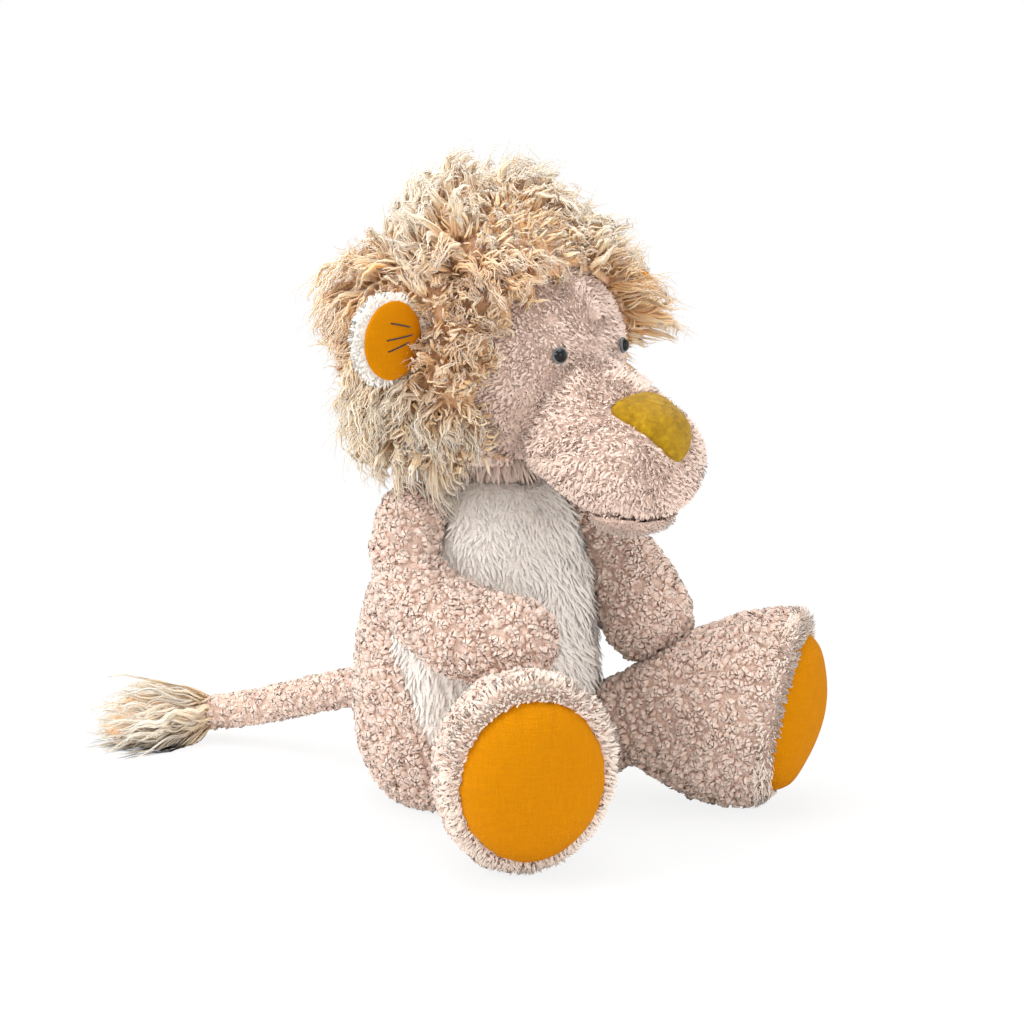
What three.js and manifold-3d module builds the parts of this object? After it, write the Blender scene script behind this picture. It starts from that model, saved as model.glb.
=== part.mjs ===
// A seated plush lion: stuffed covers, felt and linen details, and a curly mane.
// Millimetres, +Z up. The origin is the middle of the flat seat, and the lion faces -Y.
import * as THREE from "three";
import { mergeVertices } from "three/addons/utils/BufferGeometryUtils.js";
import Module from "manifold-3d";

const wasm = await Module();
wasm.setup();

// Cloth thicknesses, and the clearances between sewn pieces
const plushThick = 2.6;
const linenThick = 1.6;
const feltThick = 2;
const seamGap = 0.3;
const hollowGap = 1.1;
const pressFlat = 0.5;
const cutOverrun = 400;
const mergeReach = 0.0003;

// How finely round forms are faceted
const roundSides = 16;
const roundRingShare = 0.55;
const hiddenRoundSides = 10;
const hiddenShare = 0.6;
const turnedSides = 10;
const discRings = 6;
const domeSteps = 3;
const seamSteps = 12;
const openingSides = 20;
const torsoSides = 16;
const torsoRings = 8;
const limbSides = 12;
const limbRings = 6;
const legSides = 14;
const tailSides = 10;
const tailRings = 8;
const muzzleSides = 16;
const maneSides = 32;
const maneRings = 16;
const padSides = 16;
const padRings = 8;
const capRingsSeen = 2;
const capRingsHidden = 1;
const tiltOnset = 3;

// Torso
const torsoHeight = 172;
const torsoHalfWidth = 65;
const torsoHalfDepth = 61;
const torsoLean = 13;
const torsoCap = 4;
const torsoCapRoundness = 0.5;
const neckParting = 1.5;
const torsoHeightShares = [0.02, 0.07, 0.15, 0.28, 0.43, 0.6, 0.77, 0.88, 0.95, 1];
const torsoGirthShares = [0.72, 0.85, 0.96, 1, 0.99, 0.93, 0.79, 0.63, 0.47, 0.3];
const torsoLeanShares = [0, 0, 0, 0, 0.05, 0.2, 0.5, 0.76, 0.92, 1];

// Side seam between the back cover and the belly panel, as the side view shows it
const seamHeightShares = [-0.1, 0.08, 0.18, 0.44, 0.67, 1.1];
const seamDepthShares = [-0.95, -0.66, -0.46, -0.12, 0.07, 0.1];

// Pellet bag in the seat
const bagHalfWidth = 38;
const bagHalfDepth = 35;
const bagHeight = 24;

// Neck ball of packed filling
const neckRadius = 20;

// Head
const skullHalfWidth = 57;
const skullHalfDepth = 64;
const skullHalfHeight = 57;
const skullRise = 60;
const skullForward = 4;
const faceSeamForward = 16;

// Muzzle
const muzzleReach = 105;
const muzzleHalfWidth = 39;
const muzzleHalfHeight = 34;
const muzzleDrop = 46;
const muzzleCap = 11;
const muzzleReachShares = [0.26, 0.54, 0.81, 1];
const muzzleDropShares = [0.28, 0.67, 0.91, 1];
const muzzleWidthShares = [0.77, 0.97, 1, 0.8];
const muzzleHeightShares = [0.97, 1.1, 0.98, 0.77];
const muzzlePinchShares = [0.45, 0.4, 0.15, 0];

// Nose patch
const noseWidth = 43;
const noseLength = 42;
const noseForward = 102;
const noseDrop = 27;
const noseTilt = THREE.MathUtils.degToRad(46);
const noseCorners = 3;
const noseCornerShare = 0.13;
const noseSides = 18;

// Lower lip
const chinHalfWidth = 23;
const chinHalfLength = 21;
const chinHalfHeight = 11;
const chinForward = 88;
const chinDrop = 70;

// Eyes
const eyeRadius = 4;
const eyeFlange = 1.2;
const eyeSpread = 21.5;
const eyeRise = 4.5;
const shankRadius = 1.4;
const shankLength = 10;
const washerRadius = 5.5;
const washerThick = 1.4;

// Mane
const maneSideDepth = 27;
const maneBackDepth = 11;
const maneTopDepth = 26;
const maneRise = 8;
const maneSetBack = 8;
const maneSkirtHeight = 6;
const maneSkirtFullness = 1.4;
const maneLockDepth = 9;
const maneLocksRound = 16;
const maneLocksDown = 16;
const maneOpeningHalfWidth = 51;
const maneOpeningHalfHeight = 57;
const maneOpeningDrop = 16;
const hairlineForward = 24;

// Ears
const earHalfWidth = 24;
const earHalfHeight = 23.5;
const earHalfThick = 6;
const earRootRadius = 6;
const earRootHalfHeight = 12;
const earTuck = 2;
const earRise = 13;
const earForward = 5;
const earSwing = THREE.MathUtils.degToRad(15);
const liningHalfWidth = 18.5;
const liningHalfHeight = 19;
const liningHalfThick = 3;
const liningForward = 4.6;

// Arms, and where each one's upper arm, elbow, forearm and paw lie from the shoulder,
// as shares of the reach
const armRadius = 23;
const shoulderRadius = 17.5;
const shoulderHeight = 149;
const shoulderProud = 6;
const shoulderBearing = THREE.MathUtils.degToRad(100);
const pawCap = 17;
const armMouthRadius = 6;
const armGirthShares = [0.74, 0.82, 0.94, 1.02, 0.98];
const armReach = 100;
const rightArmShares = {
  out: [0.1, 0.12, 0.06, -0.03],
  forward: [0.08, 0.26, 0.51, 0.73],
  drop: [0.22, 0.39, 0.49, 0.51],
};
const leftArmShares = {
  out: [0.08, 0.14, 0.16, 0.13],
  forward: [0.09, 0.25, 0.44, 0.62],
  drop: [0.13, 0.29, 0.44, 0.6],
};

// Legs
const hipRadius = 22;
const hipHeight = 30;
const hipSunk = 3;
const hipBearing = THREE.MathUtils.degToRad(44);
const legSplay = THREE.MathUtils.degToRad(31);
const legLength = 100;
const footHalfHeight = 51;
const footHalfWidth = 42;
const soleTilt = THREE.MathUtils.degToRad(9);
const footCap = 4;
const legReachShares = [0, 0.14, 0.4, 0.68, 0.86, 1];
const legTallShares = [0.34, 0.37, 0.72, 0.95, 1, 0.93];
const legWideShares = [0.42, 0.46, 0.76, 0.96, 1, 0.97];
const legLiftShares = [0.48, 0.49, 0.165, 0, 0, 0.15];
const padHalfWidth = 34.5;
const padHalfHeight = 40.5;
const padDrop = 4;
const padBulge = 18;

// Tail
const tailRadius = 10.5;
const tailEndRadius = 9.2;
const tailHeight = 41;
const tailProud = 4;
const tailLength = 115;
const tailSway = 25;
const tailDrop = 27;
const tailReachShares = [0, 0.28, 0.62, 0.78, 1];
const tailSwayShares = [0, 0.02, 0.4, 0.66, 1];
const tailDropShares = [0, 0.11, 0.58, 0.79, 1];
const tuftPlug = 9;
const tuftPlugRadius = 5;
const tuftReach = 21;
const tuftSway = 52;
const tuftHalfWidth = 19;
const tuftHalfHeight = 15;
const tuftCap = 9;
const tuftPlaceShares = [0, 0.3, 0.65, 1];
const tuftWidthShares = [0.5, 0.8, 1, 0.72];
const tuftHeightShares = [0.62, 0.82, 1, 0.6];

const across = new THREE.Vector3(1, 0, 0);
const forwards = new THREE.Vector3(0, -1, 0);
const upwards = new THREE.Vector3(0, 0, 1);
const downwards = new THREE.Vector3(0, 0, -1);
const origin = new THREE.Vector3();

// A closed geometry as a solid that can be joined and cut, with its faces turned out.
function toSolid(geometry) {
  const plain = new THREE.BufferGeometry();
  plain.setAttribute("position", geometry.getAttribute("position").clone());
  if (geometry.index) plain.setIndex(geometry.index.clone());
  const merged = mergeVertices(plain, mergeReach);
  const corners = merged.index.array;
  const faces = [];
  for (let i = 0; i < corners.length; i += 3) {
    const [a, b, c] = corners.subarray(i, i + 3);
    if (a !== b && b !== c && c !== a) faces.push(a, b, c);
  }
  const build = (list) =>
    new wasm.Manifold(
      new wasm.Mesh({
        numProp: 3,
        vertProperties: merged.attributes.position.array,
        triVerts: new Uint32Array(list),
      }),
    );
  const made = build(faces);
  return made.volume() > 0 ? made : build(faces.reverse());
}

function without(solid, ...cutters) {
  return cutters.reduce((left, cutter) => left.subtract(cutter), solid);
}

// A unit shape on its own axes, scaled and carried to a place.
function placed(geometry, centre, xAxis, yAxis, zAxis) {
  geometry.applyMatrix4(new THREE.Matrix4().makeBasis(xAxis, yAxis, zAxis).setPosition(centre));
  return toSolid(geometry);
}

function ellipsoid(centre, halfX, halfY, halfZ, around = roundSides) {
  const geometry = new THREE.SphereGeometry(1, around, Math.round(around * roundRingShare));
  geometry.rotateX(Math.PI / 2);
  geometry.scale(halfX, halfY, halfZ);
  geometry.translate(centre.x, centre.y, centre.z);
  return toSolid(geometry);
}

function ball(centre, radius) {
  return ellipsoid(centre, radius, radius, radius);
}

// Everything on one side of a level or upright plane.
function halfSpace(direction, distance) {
  const geometry = new THREE.BoxGeometry(2 * cutOverrun, 2 * cutOverrun, cutOverrun);
  geometry.translate(0, 0, distance + cutOverrun / 2);
  geometry.applyQuaternion(new THREE.Quaternion().setFromUnitVectors(upwards, direction));
  return toSolid(geometry);
}

function below(height) {
  return halfSpace(downwards, -height);
}

function above(height) {
  return halfSpace(upwards, height);
}

function inFrontOf(depth) {
  return halfSpace(forwards, -depth);
}

// The hollow round a ball that turns, with a flat close to the ball in each given direction.
function hollow(centre, radius, ...seats) {
  const flats = seats.map((seat) => halfSpace(seat, centre.dot(seat) + radius + seamGap));
  return without(ball(centre, radius + hollowGap), ...flats);
}

// A turned shape: its profile runs [radius, height] along a direction.
function turned(profile, base, direction) {
  const geometry = new THREE.LatheGeometry(profile.map(([r, h]) => new THREE.Vector2(r, h)), turnedSides);
  geometry.applyQuaternion(new THREE.Quaternion().setFromUnitVectors(new THREE.Vector3(0, 1, 0), direction));
  geometry.translate(base.x, base.y, base.z);
  return toSolid(geometry);
}

function rod(base, direction, radius, length) {
  return turned([[0, 0], [radius, 0], [radius, length], [0, length]], base, direction);
}

// Joins a row of point loops, with a pole beyond each end, into one closed solid.
function skinned(loops, firstPole, lastPole) {
  const sides = loops[0].length;
  const points = [firstPole, ...loops.flat(), lastPole];
  const last = points.length - 1;
  const edge = last - sides;
  const faces = [];
  for (let i = 0; i < sides; i++) {
    const next = (i + 1) % sides;
    faces.push(0, 1 + next, 1 + i, last, edge + i, edge + next);
    for (let k = 0; k < loops.length - 1; k++) {
      const here = 1 + k * sides;
      const there = here + sides;
      faces.push(here + i, here + next, there + i, here + next, there + next, there + i);
    }
  }
  const geometry = new THREE.BufferGeometry();
  geometry.setAttribute("position", new THREE.Float32BufferAttribute(points.flatMap((p) => p.toArray()), 3));
  geometry.setIndex(faces);
  return toSolid(geometry);
}

// A stuffed form that swells and tapers along a path, closed by a domed cap at each end.
// grow makes it fatter or thinner all over, for clearances and for the cloth's hidden inside,
// which has fewer faces.
function stuffedForm(shape, grow = 0) {
  const { path, wide, tall, pinch = path.map(() => 0), facing, level = upwards, endTilt = 0 } = shape;
  const { startCap, endCap, capRoundness = 1, fineRings = limbRings, fineSides = limbSides } = shape;
  const hidden = grow < 0;
  const rings = hidden ? Math.ceil(fineRings * hiddenShare) : fineRings;
  const sides = hidden ? Math.ceil(fineSides * hiddenShare) : fineSides;
  const capRings = hidden ? capRingsHidden : capRingsSeen;
  const spine = new THREE.CatmullRomCurve3(path, false, "centripetal");
  const knots = path.map((_, i) => new THREE.Vector3(wide[i], tall[i], pinch[i]));
  const sizes = new THREE.CatmullRomCurve3(knots, false, "centripetal");
  const station = (along, offset, shrink) => {
    const size = sizes.getPoint(along);
    const straight = facing ?? spine.getTangent(along);
    const side = new THREE.Vector3().crossVectors(straight, level).normalize();
    const tilt = endTilt * along ** tiltOnset;
    const rise = new THREE.Vector3().crossVectors(side, straight).applyAxisAngle(side, -tilt);
    const onward = straight.clone().applyAxisAngle(side, -tilt);
    const centre = spine.getPoint(along).addScaledVector(onward, offset);
    return Array.from({ length: sides }, (_, i) => {
      const turn = (2 * Math.PI * i) / sides;
      const narrow = 1 - (size.z * (1 + Math.cos(turn))) / 2;
      return centre
        .clone()
        .addScaledVector(side, ((size.x + grow) * shrink * narrow) * Math.sin(turn))
        .addScaledVector(rise, (size.y + grow) * shrink * Math.cos(turn));
    });
  };
  const capAt = (end, cap, i) => {
    const turn = (Math.PI / 2) * (i / (capRings + 1));
    return station(end, cap * Math.cos(turn) ** capRoundness, Math.sin(turn) ** capRoundness);
  };
  const loops = [];
  for (let i = 1; i <= capRings; i++) loops.push(capAt(0, -startCap - grow, i));
  for (let i = 0; i <= rings; i++) loops.push(station(i / rings, 0, 1));
  for (let i = capRings; i >= 1; i--) loops.push(capAt(1, endCap + grow, i));
  const [firstPole] = station(0, -startCap - grow, 0);
  const [lastPole] = station(1, endCap + grow, 0);
  return skinned(loops, firstPole, lastPole);
}

// Torso

const torsoShape = {
  path: torsoHeightShares.map(
    (share, i) => new THREE.Vector3(0, -torsoLeanShares[i] * torsoLean, share * torsoHeight),
  ),
  wide: torsoGirthShares.map((share) => share * torsoHalfWidth),
  tall: torsoGirthShares.map((share) => share * torsoHalfDepth),
  startCap: torsoCap,
  endCap: torsoCap,
  capRoundness: torsoCapRoundness,
  facing: upwards,
  level: forwards,
  fineRings: torsoRings,
  fineSides: torsoSides,
};

function torsoForm(grow = 0) {
  return without(stuffedForm(torsoShape, grow), below(-grow), above(torsoHeight - neckParting));
}

// A point that stands out from the torso's surface, at a bearing from straight ahead.
function onTorso(side, bearing, height, proud) {
  const share = THREE.MathUtils.clamp(height / torsoHeight, torsoHeightShares[0], 1);
  const above = Math.max(torsoHeightShares.findIndex((s) => s >= share), 1);
  const low = above - 1;
  const part = (share - torsoHeightShares[low]) / (torsoHeightShares[above] - torsoHeightShares[low]);
  const girth = THREE.MathUtils.lerp(torsoGirthShares[low], torsoGirthShares[above], part);
  const lean = THREE.MathUtils.lerp(torsoLeanShares[low], torsoLeanShares[above], part);
  const widthwise = Math.sin(bearing) / (girth * torsoHalfWidth);
  const depthwise = Math.cos(bearing) / (girth * torsoHalfDepth);
  const reach = 1 / Math.hypot(widthwise, depthwise) + proud;
  const x = side * reach * Math.sin(bearing);
  return new THREE.Vector3(x, -lean * torsoLean - reach * Math.cos(bearing), height);
}

// Everything in front of the side seam.
function beforeSideSeam(shift) {
  const knots = seamHeightShares.map(
    (share, i) => new THREE.Vector2(seamDepthShares[i] * torsoHalfDepth + shift, share * torsoHeight),
  );
  const outline = new THREE.Shape(new THREE.SplineCurve(knots).getPoints(seamSteps));
  outline.lineTo(-cutOverrun, seamHeightShares.at(-1) * torsoHeight);
  outline.lineTo(-cutOverrun, seamHeightShares[0] * torsoHeight);
  const geometry = new THREE.ExtrudeGeometry(outline, { depth: 2 * cutOverrun, bevelEnabled: false });
  geometry.translate(0, 0, -cutOverrun);
  return placed(geometry, origin, forwards.clone().negate(), upwards, across);
}

const neckCentre = new THREE.Vector3(0, -torsoLean, torsoHeight);
const tailRoot = onTorso(1, Math.PI, tailHeight, tailProud);
const shoulders = [-1, 1].map((side) => onTorso(side, shoulderBearing, shoulderHeight, shoulderProud));
const hips = [-1, 1].map((side) => onTorso(side, hipBearing, hipHeight, -hipSunk));

// The hollows where the neck, limbs and tail are sewn in.
const limbHollows = [
  hollow(neckCentre, neckRadius, downwards),
  hollow(tailRoot, tailRadius, forwards),
  ...shoulders.map((shoulder) => hollow(shoulder, shoulderRadius)),
  ...hips.map((hip) => hollow(hip, hipRadius)),
];
const headHollow = hollow(neckCentre, neckRadius, upwards);

const torsoCover = without(torsoForm(), torsoForm(-plushThick), ...limbHollows);
const bellyPanel = torsoCover.intersect(beforeSideSeam(-seamGap / 2));
const torsoBack = torsoCover.subtract(beforeSideSeam(seamGap / 2));
const bagBase = new THREE.Vector3(0, 0, plushThick + seamGap);
const bagRecess = ellipsoid(bagBase, bagHalfWidth + seamGap, bagHalfDepth + seamGap, bagHeight + seamGap);
const pelletBag = ellipsoid(bagBase, bagHalfWidth, bagHalfDepth, bagHeight).intersect(above(bagBase.z));
const torsoStuffing = without(torsoForm(-plushThick - seamGap), bagRecess, ...limbHollows);
const neckStuffing = ball(neckCentre, neckRadius);

// Head

const skullCentre = new THREE.Vector3(0, neckCentre.y - skullForward, neckCentre.z + skullRise);

function headPlace(out, forward, rise) {
  return new THREE.Vector3(out, skullCentre.y - forward, skullCentre.z + rise);
}

function skull(grow = 0) {
  const halves = [skullHalfWidth, skullHalfDepth, skullHalfHeight].map((half) => half + grow);
  return ellipsoid(skullCentre, ...halves, grow < 0 ? hiddenRoundSides : roundSides);
}

const muzzleShape = {
  path: muzzleReachShares.map((share, i) =>
    headPlace(0, share * muzzleReach, -muzzleDropShares[i] * muzzleDrop),
  ),
  wide: muzzleWidthShares.map((share) => share * muzzleHalfWidth),
  tall: muzzleHeightShares.map((share) => share * muzzleHalfHeight),
  pinch: muzzlePinchShares,
  startCap: muzzleCap,
  endCap: muzzleCap,
  facing: forwards,
  fineSides: muzzleSides,
};

function muzzle(grow = 0) {
  return stuffedForm(muzzleShape, grow);
}

// Eyes: a glass dome on a shank, held by a washer behind the cloth
const eyeDepth =
  skullHalfDepth * Math.sqrt(1 - (eyeSpread / skullHalfWidth) ** 2 - (eyeRise / skullHalfHeight) ** 2);

function eyeParts(side) {
  const outward = new THREE.Vector3(
    (side * eyeSpread) / skullHalfWidth ** 2,
    -eyeDepth / skullHalfDepth ** 2,
    eyeRise / skullHalfHeight ** 2,
  ).normalize();
  const cloth = headPlace(side * eyeSpread, eyeDepth, eyeRise);
  const seat = cloth.addScaledVector(outward, eyeFlange + seamGap);
  const dome = (grow) => {
    const radius = eyeRadius + grow;
    const edge = -eyeFlange - grow;
    const front = Array.from({ length: domeSteps }, (_, i) => {
      const turn = (Math.PI / 2) * (i / domeSteps);
      return [radius * Math.cos(turn), radius * Math.sin(turn)];
    });
    const tip = -shankLength - grow;
    const stem = shankRadius + grow;
    const profile = [[0, tip], [stem, tip], [stem, edge], [radius, edge], ...front, [0, radius]];
    return turned(profile, seat, outward);
  };
  const washer = (grow) => {
    const middle = -eyeFlange - plushThick - 3 * seamGap - washerThick / 2;
    const reach = washerThick / 2 + grow;
    const ends = [middle - reach, middle + reach];
    const bore = shankRadius + seamGap - grow;
    const rim = washerRadius + grow;
    return turned(
      [[bore, ends[0]], [rim, ends[0]], [rim, ends[1]], [bore, ends[1]], [bore, ends[0]]],
      seat,
      outward,
    );
  };
  return { eye: dome(0), eyeSeat: dome(seamGap), washer: washer(0), washerSeat: washer(seamGap) };
}

const eyes = [-1, 1].map(eyeParts);
const eyeSeats = eyes.map((parts) => parts.eyeSeat);
const washerSeats = eyes.map((parts) => parts.washerSeat);

const facePanel = without(
  skull().intersect(inFrontOf(skullCentre.y - faceSeamForward)),
  skull(-plushThick),
  muzzle(seamGap),
  headHollow,
  ...eyeSeats,
  ...washerSeats,
);
const muzzleCover = without(muzzle(), muzzle(-plushThick), skull(-plushThick), ...eyeSeats, ...washerSeats);
const headStuffing = without(
  skull(-plushThick - seamGap).add(muzzle(-plushThick - seamGap)),
  headHollow,
  ...eyeSeats,
  ...washerSeats,
);
const chinPlace = headPlace(0, chinForward, -chinDrop);
const chin = ellipsoid(chinPlace, chinHalfWidth, chinHalfLength, chinHalfHeight).subtract(muzzle(seamGap));

// The nose: a rounded triangle of felt laid on the muzzle
function noseOutline() {
  const points = Array.from({ length: noseSides }, (_, i) => {
    const turn = (2 * Math.PI * i) / noseSides;
    const reach = 1 + noseCornerShare * Math.sin(noseCorners * turn);
    const across = (noseWidth / 2) * reach * Math.cos(turn);
    return new THREE.Vector2(across, (noseLength / 2) * reach * Math.sin(turn));
  });
  return new THREE.Shape(points);
}

const noseNormal = forwards.clone().applyAxisAngle(across, -noseTilt);
const noseUp = new THREE.Vector3().crossVectors(noseNormal, across);
const nosePrism = placed(
  new THREE.ExtrudeGeometry(noseOutline(), { depth: muzzleHalfHeight, bevelEnabled: false }),
  headPlace(0, noseForward, -noseDrop),
  across,
  noseUp,
  noseNormal,
);
const nose = muzzle(feltThick + seamGap).subtract(muzzle(seamGap)).intersect(nosePrism);

// Ears: two rounds of cloth on a root that turns in the mane
const skullSide =
  skullHalfWidth * Math.sqrt(1 - (earForward / skullHalfDepth) ** 2 - (earRise / skullHalfHeight) ** 2);

function earParts(side) {
  const hinge = headPlace(side * (skullSide + seamGap + earRootRadius), earForward, earRise);
  const disc = (around, out, forward, halfWidth, halfThick, halfHeight, turn) => {
    const geometry = new THREE.SphereGeometry(1, around, discRings);
    geometry.scale(halfWidth, halfHeight, halfThick);
    geometry.rotateX(Math.PI / 2);
    geometry.translate(side * out, -forward, 0);
    geometry.rotateZ(turn);
    geometry.translate(hinge.x, hinge.y, hinge.z);
    return toSolid(geometry);
  };
  const root = (grow, endGrow) => {
    const base = hinge.clone().addScaledVector(downwards, earRootHalfHeight + endGrow);
    return rod(base, upwards, earRootRadius + grow, 2 * (earRootHalfHeight + endGrow));
  };
  const out = earHalfWidth - earTuck;
  const round = (grow, around = roundSides, turn = 0) =>
    disc(around, out, 0, earHalfWidth + grow, earHalfThick + grow, earHalfHeight + grow, turn);
  const lining = (grow, around = roundSides, turn = 0) => {
    const halves = [liningHalfWidth, liningHalfThick, liningHalfHeight];
    const [width, thick, height] = halves.map((half) => half + grow);
    return disc(around, out, liningForward, width, thick, height, turn);
  };
  const room = earHalfThick + Math.sin(earSwing) * maneSideDepth;
  const swingRoom = disc(hiddenRoundSides, maneSideDepth, 0, maneSideDepth, room, earHalfHeight, 0);
  const swings = [-earSwing, 0, earSwing].flatMap((turn) => [
    round(2 * hollowGap, hiddenRoundSides, turn),
    lining(2 * hollowGap, hiddenRoundSides, turn),
  ]);
  return {
    back: round(0).add(root(0, 0)).subtract(lining(seamGap)),
    lining: lining(0),
    pocket: [...swings, swingRoom, root(hollowGap, seamGap)],
  };
}

const ears = [-1, 1].map(earParts);

// The mane: a thick ring of curls on its own backing, round the face and down the neck
function maneBulk() {
  const geometry = new THREE.SphereGeometry(1, maneSides, maneRings);
  geometry.rotateX(Math.PI / 2);
  const halves = new THREE.Vector3(
    skullHalfWidth + maneSideDepth,
    skullHalfDepth + maneBackDepth - maneSetBack,
    skullHalfHeight + maneTopDepth - maneRise,
  );
  const places = geometry.getAttribute("position");
  for (let i = 0; i < places.count; i++) {
    const spot = new THREE.Vector3().fromBufferAttribute(places, i);
    const round = Math.atan2(spot.y, spot.x);
    const down = Math.asin(THREE.MathUtils.clamp(spot.z, -1, 1));
    const lock = Math.cos(maneLocksRound * round) * Math.cos(maneLocksDown * down);
    const swell = ((lock - 1) / 2) * Math.cos(down) * maneLockDepth;
    const { x, y, z } = spot;
    const tall = z < 0 ? halves.z * maneSkirtFullness : halves.z;
    places.setXYZ(i, x * (halves.x + swell), y * (halves.y + swell), z * (tall + swell));
  }
  const centre = headPlace(0, -maneSetBack, maneRise);
  geometry.translate(centre.x, centre.y, centre.z);
  return toSolid(geometry);
}

function faceOpening() {
  const geometry = new THREE.CylinderGeometry(1, 1, 1, openingSides);
  geometry.scale(maneOpeningHalfWidth, cutOverrun, maneOpeningHalfHeight);
  const centre = headPlace(0, hairlineForward + cutOverrun / 2, -maneOpeningDrop);
  geometry.translate(centre.x, centre.y, centre.z);
  return toSolid(geometry);
}

const faceRoom = skull(seamGap).intersect(inFrontOf(skullCentre.y - faceSeamForward + seamGap));
const mane = without(
  maneBulk(),
  below(neckCentre.z + maneSkirtHeight),
  faceOpening(),
  skull(-plushThick),
  faceRoom,
  headHollow,
  ...ears.flatMap((ear) => ear.pocket),
);

// Legs, laid out along the way each one points

function legShape(side) {
  const hip = hips[side < 0 ? 0 : 1];
  const ahead = new THREE.Vector3(side * Math.sin(legSplay), -Math.cos(legSplay), 0);
  const tall = legTallShares.map((share) => share * footHalfHeight);
  const path = legReachShares.map((share, i) => {
    const spot = hip.clone().addScaledVector(ahead, share * legLength);
    return spot.setZ(legLiftShares[i] * footHalfHeight - pressFlat + tall[i]);
  });
  return {
    path,
    tall,
    wide: legWideShares.map((share) => share * footHalfWidth),
    facing: ahead,
    endTilt: soleTilt,
    startCap: footCap,
    endCap: footCap,
    fineSides: legSides,
  };
}

function legForm(side, grow = 0, clear = seamGap) {
  const hip = hips[side < 0 ? 0 : 1];
  const outer = without(stuffedForm(legShape(side), grow), torsoForm(clear));
  return outer.add(ball(hip, hipRadius + grow)).subtract(below(-grow));
}

function legParts(side) {
  const shape = legShape(side);
  const tiltAxis = new THREE.Vector3().crossVectors(shape.facing, upwards);
  const outward = shape.facing.clone().applyAxisAngle(tiltAxis, -soleTilt);
  const rise = new THREE.Vector3().crossVectors(tiltAxis, outward);
  const padCentre = shape.path.at(-1).clone().addScaledVector(rise, -padDrop);
  const pad = (grow) => {
    const geometry = new THREE.SphereGeometry(1, padSides, padRings);
    geometry.scale(padHalfWidth + grow, padBulge + grow, padHalfHeight + grow);
    return placed(geometry, padCentre, tiltAxis.clone().negate(), outward, rise);
  };
  const outer = legForm(side);
  const cover = without(outer, legForm(side, -plushThick, seamGap + plushThick), pad(seamGap));
  const sole = without(pad(0), pad(-linenThick), legForm(side, seamGap));
  const filling = legForm(side, -plushThick - seamGap, 2 * seamGap + plushThick).add(
    pad(-linenThick - seamGap),
  );
  return { cover, sole, filling };
}

const legs = [-1, 1].map(legParts);

// Arms

function armShape(side, shoulder, { out, forward, drop }) {
  const spots = out.map((share, i) =>
    new THREE.Vector3(side * share, -forward[i], -drop[i]).multiplyScalar(armReach).add(shoulder),
  );
  const girths = armGirthShares.map((share) => share * armRadius);
  return { path: [shoulder, ...spots], wide: girths, tall: girths, startCap: footCap, endCap: pawCap };
}

// An arm, flattened where it lies against the torso and the leg.
function armForm(side, shape, grow = 0, clear = seamGap) {
  const lying = without(stuffedForm(shape, grow), torsoForm(clear), legForm(side, clear));
  return lying.add(ball(shape.path[0], shoulderRadius + grow));
}

function armParts(side, shares) {
  const shoulder = shoulders[side < 0 ? 0 : 1];
  const shape = armShape(side, shoulder, shares);
  const mouth = rod(shoulder, across.clone().multiplyScalar(-side), armMouthRadius, 2 * shoulderRadius);
  const inside = armForm(side, shape, -plushThick, seamGap + plushThick);
  return {
    cover: without(armForm(side, shape), inside, mouth),
    filling: armForm(side, shape, -plushThick - seamGap, 2 * seamGap + plushThick),
  };
}

const arms = [armParts(-1, rightArmShares), armParts(1, leftArmShares)];

// Tail, with a tuft plugged into its open end

const tailPath = tailReachShares.map(
  (share, i) =>
    new THREE.Vector3(
      tailRoot.x - tailSwayShares[i] * tailSway,
      tailRoot.y + share * tailLength,
      tailRoot.z - tailDropShares[i] * tailDrop,
    ),
);
const tailGirths = tailPath.map((_, i) =>
  THREE.MathUtils.lerp(tailRadius, tailEndRadius, i / (tailPath.length - 1)),
);
const tailShape = {
  path: tailPath,
  wide: tailGirths,
  tall: tailGirths,
  startCap: seamGap,
  fineRings: tailRings,
  fineSides: tailSides,
};

function tailForm(grow, endCap) {
  const outer = stuffedForm({ ...tailShape, endCap }, grow).subtract(torsoForm(seamGap));
  return outer.add(ball(tailRoot, tailRadius + grow));
}

const tailEnd = tailPath.at(-1);
const tailWay = new THREE.CatmullRomCurve3(tailPath, false, "centripetal").getTangent(1);
const tuftBase = tailEnd.clone().addScaledVector(tailWay, plushThick);
const tuftPath = tuftPlaceShares.map((share, i) =>
  new THREE.Vector3(
    tuftBase.x - share * tuftSway,
    tuftBase.y + Math.sin((Math.PI / 2) * share) * tuftReach,
    Math.max(tuftHeightShares[i] * tuftHalfHeight + seamGap, tuftBase.z * (1 - share)),
  ),
);
const tuftBulk = stuffedForm({
  path: tuftPath,
  wide: tuftWidthShares.map((share) => share * tuftHalfWidth),
  tall: tuftHeightShares.map((share) => share * tuftHalfHeight),
  startCap: plushThick,
  endCap: tuftCap,
});
const backwards = tailWay.clone().negate();
const tuftTie = rod(tuftBase, backwards, tuftPlugRadius, tuftPlug);
const plugRoom = rod(tuftBase, backwards, tuftPlugRadius + seamGap, tuftPlug + seamGap);
const tailOpening = rod(tailEnd, tailWay, 2 * tailRadius, cutOverrun);
const tailCover = without(tailForm(0, plushThick), tailForm(-plushThick, 2 * plushThick), tailOpening);
const tailFilling = without(tailForm(-plushThick - seamGap, plushThick), plugRoom, tailOpening);
const tuftStart = tailEnd.clone().addScaledVector(tailWay, seamGap);
const tuftFace = rod(tuftStart, backwards, 2 * tailRadius, tailLength);
const tailTuft = tuftBulk.subtract(tuftFace).add(tuftTie);

// The cloths and their colours

function cloth(color, roughness = 0.95) {
  return () => new THREE.MeshStandardMaterial({ color, roughness, metalness: 0 });
}

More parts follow.
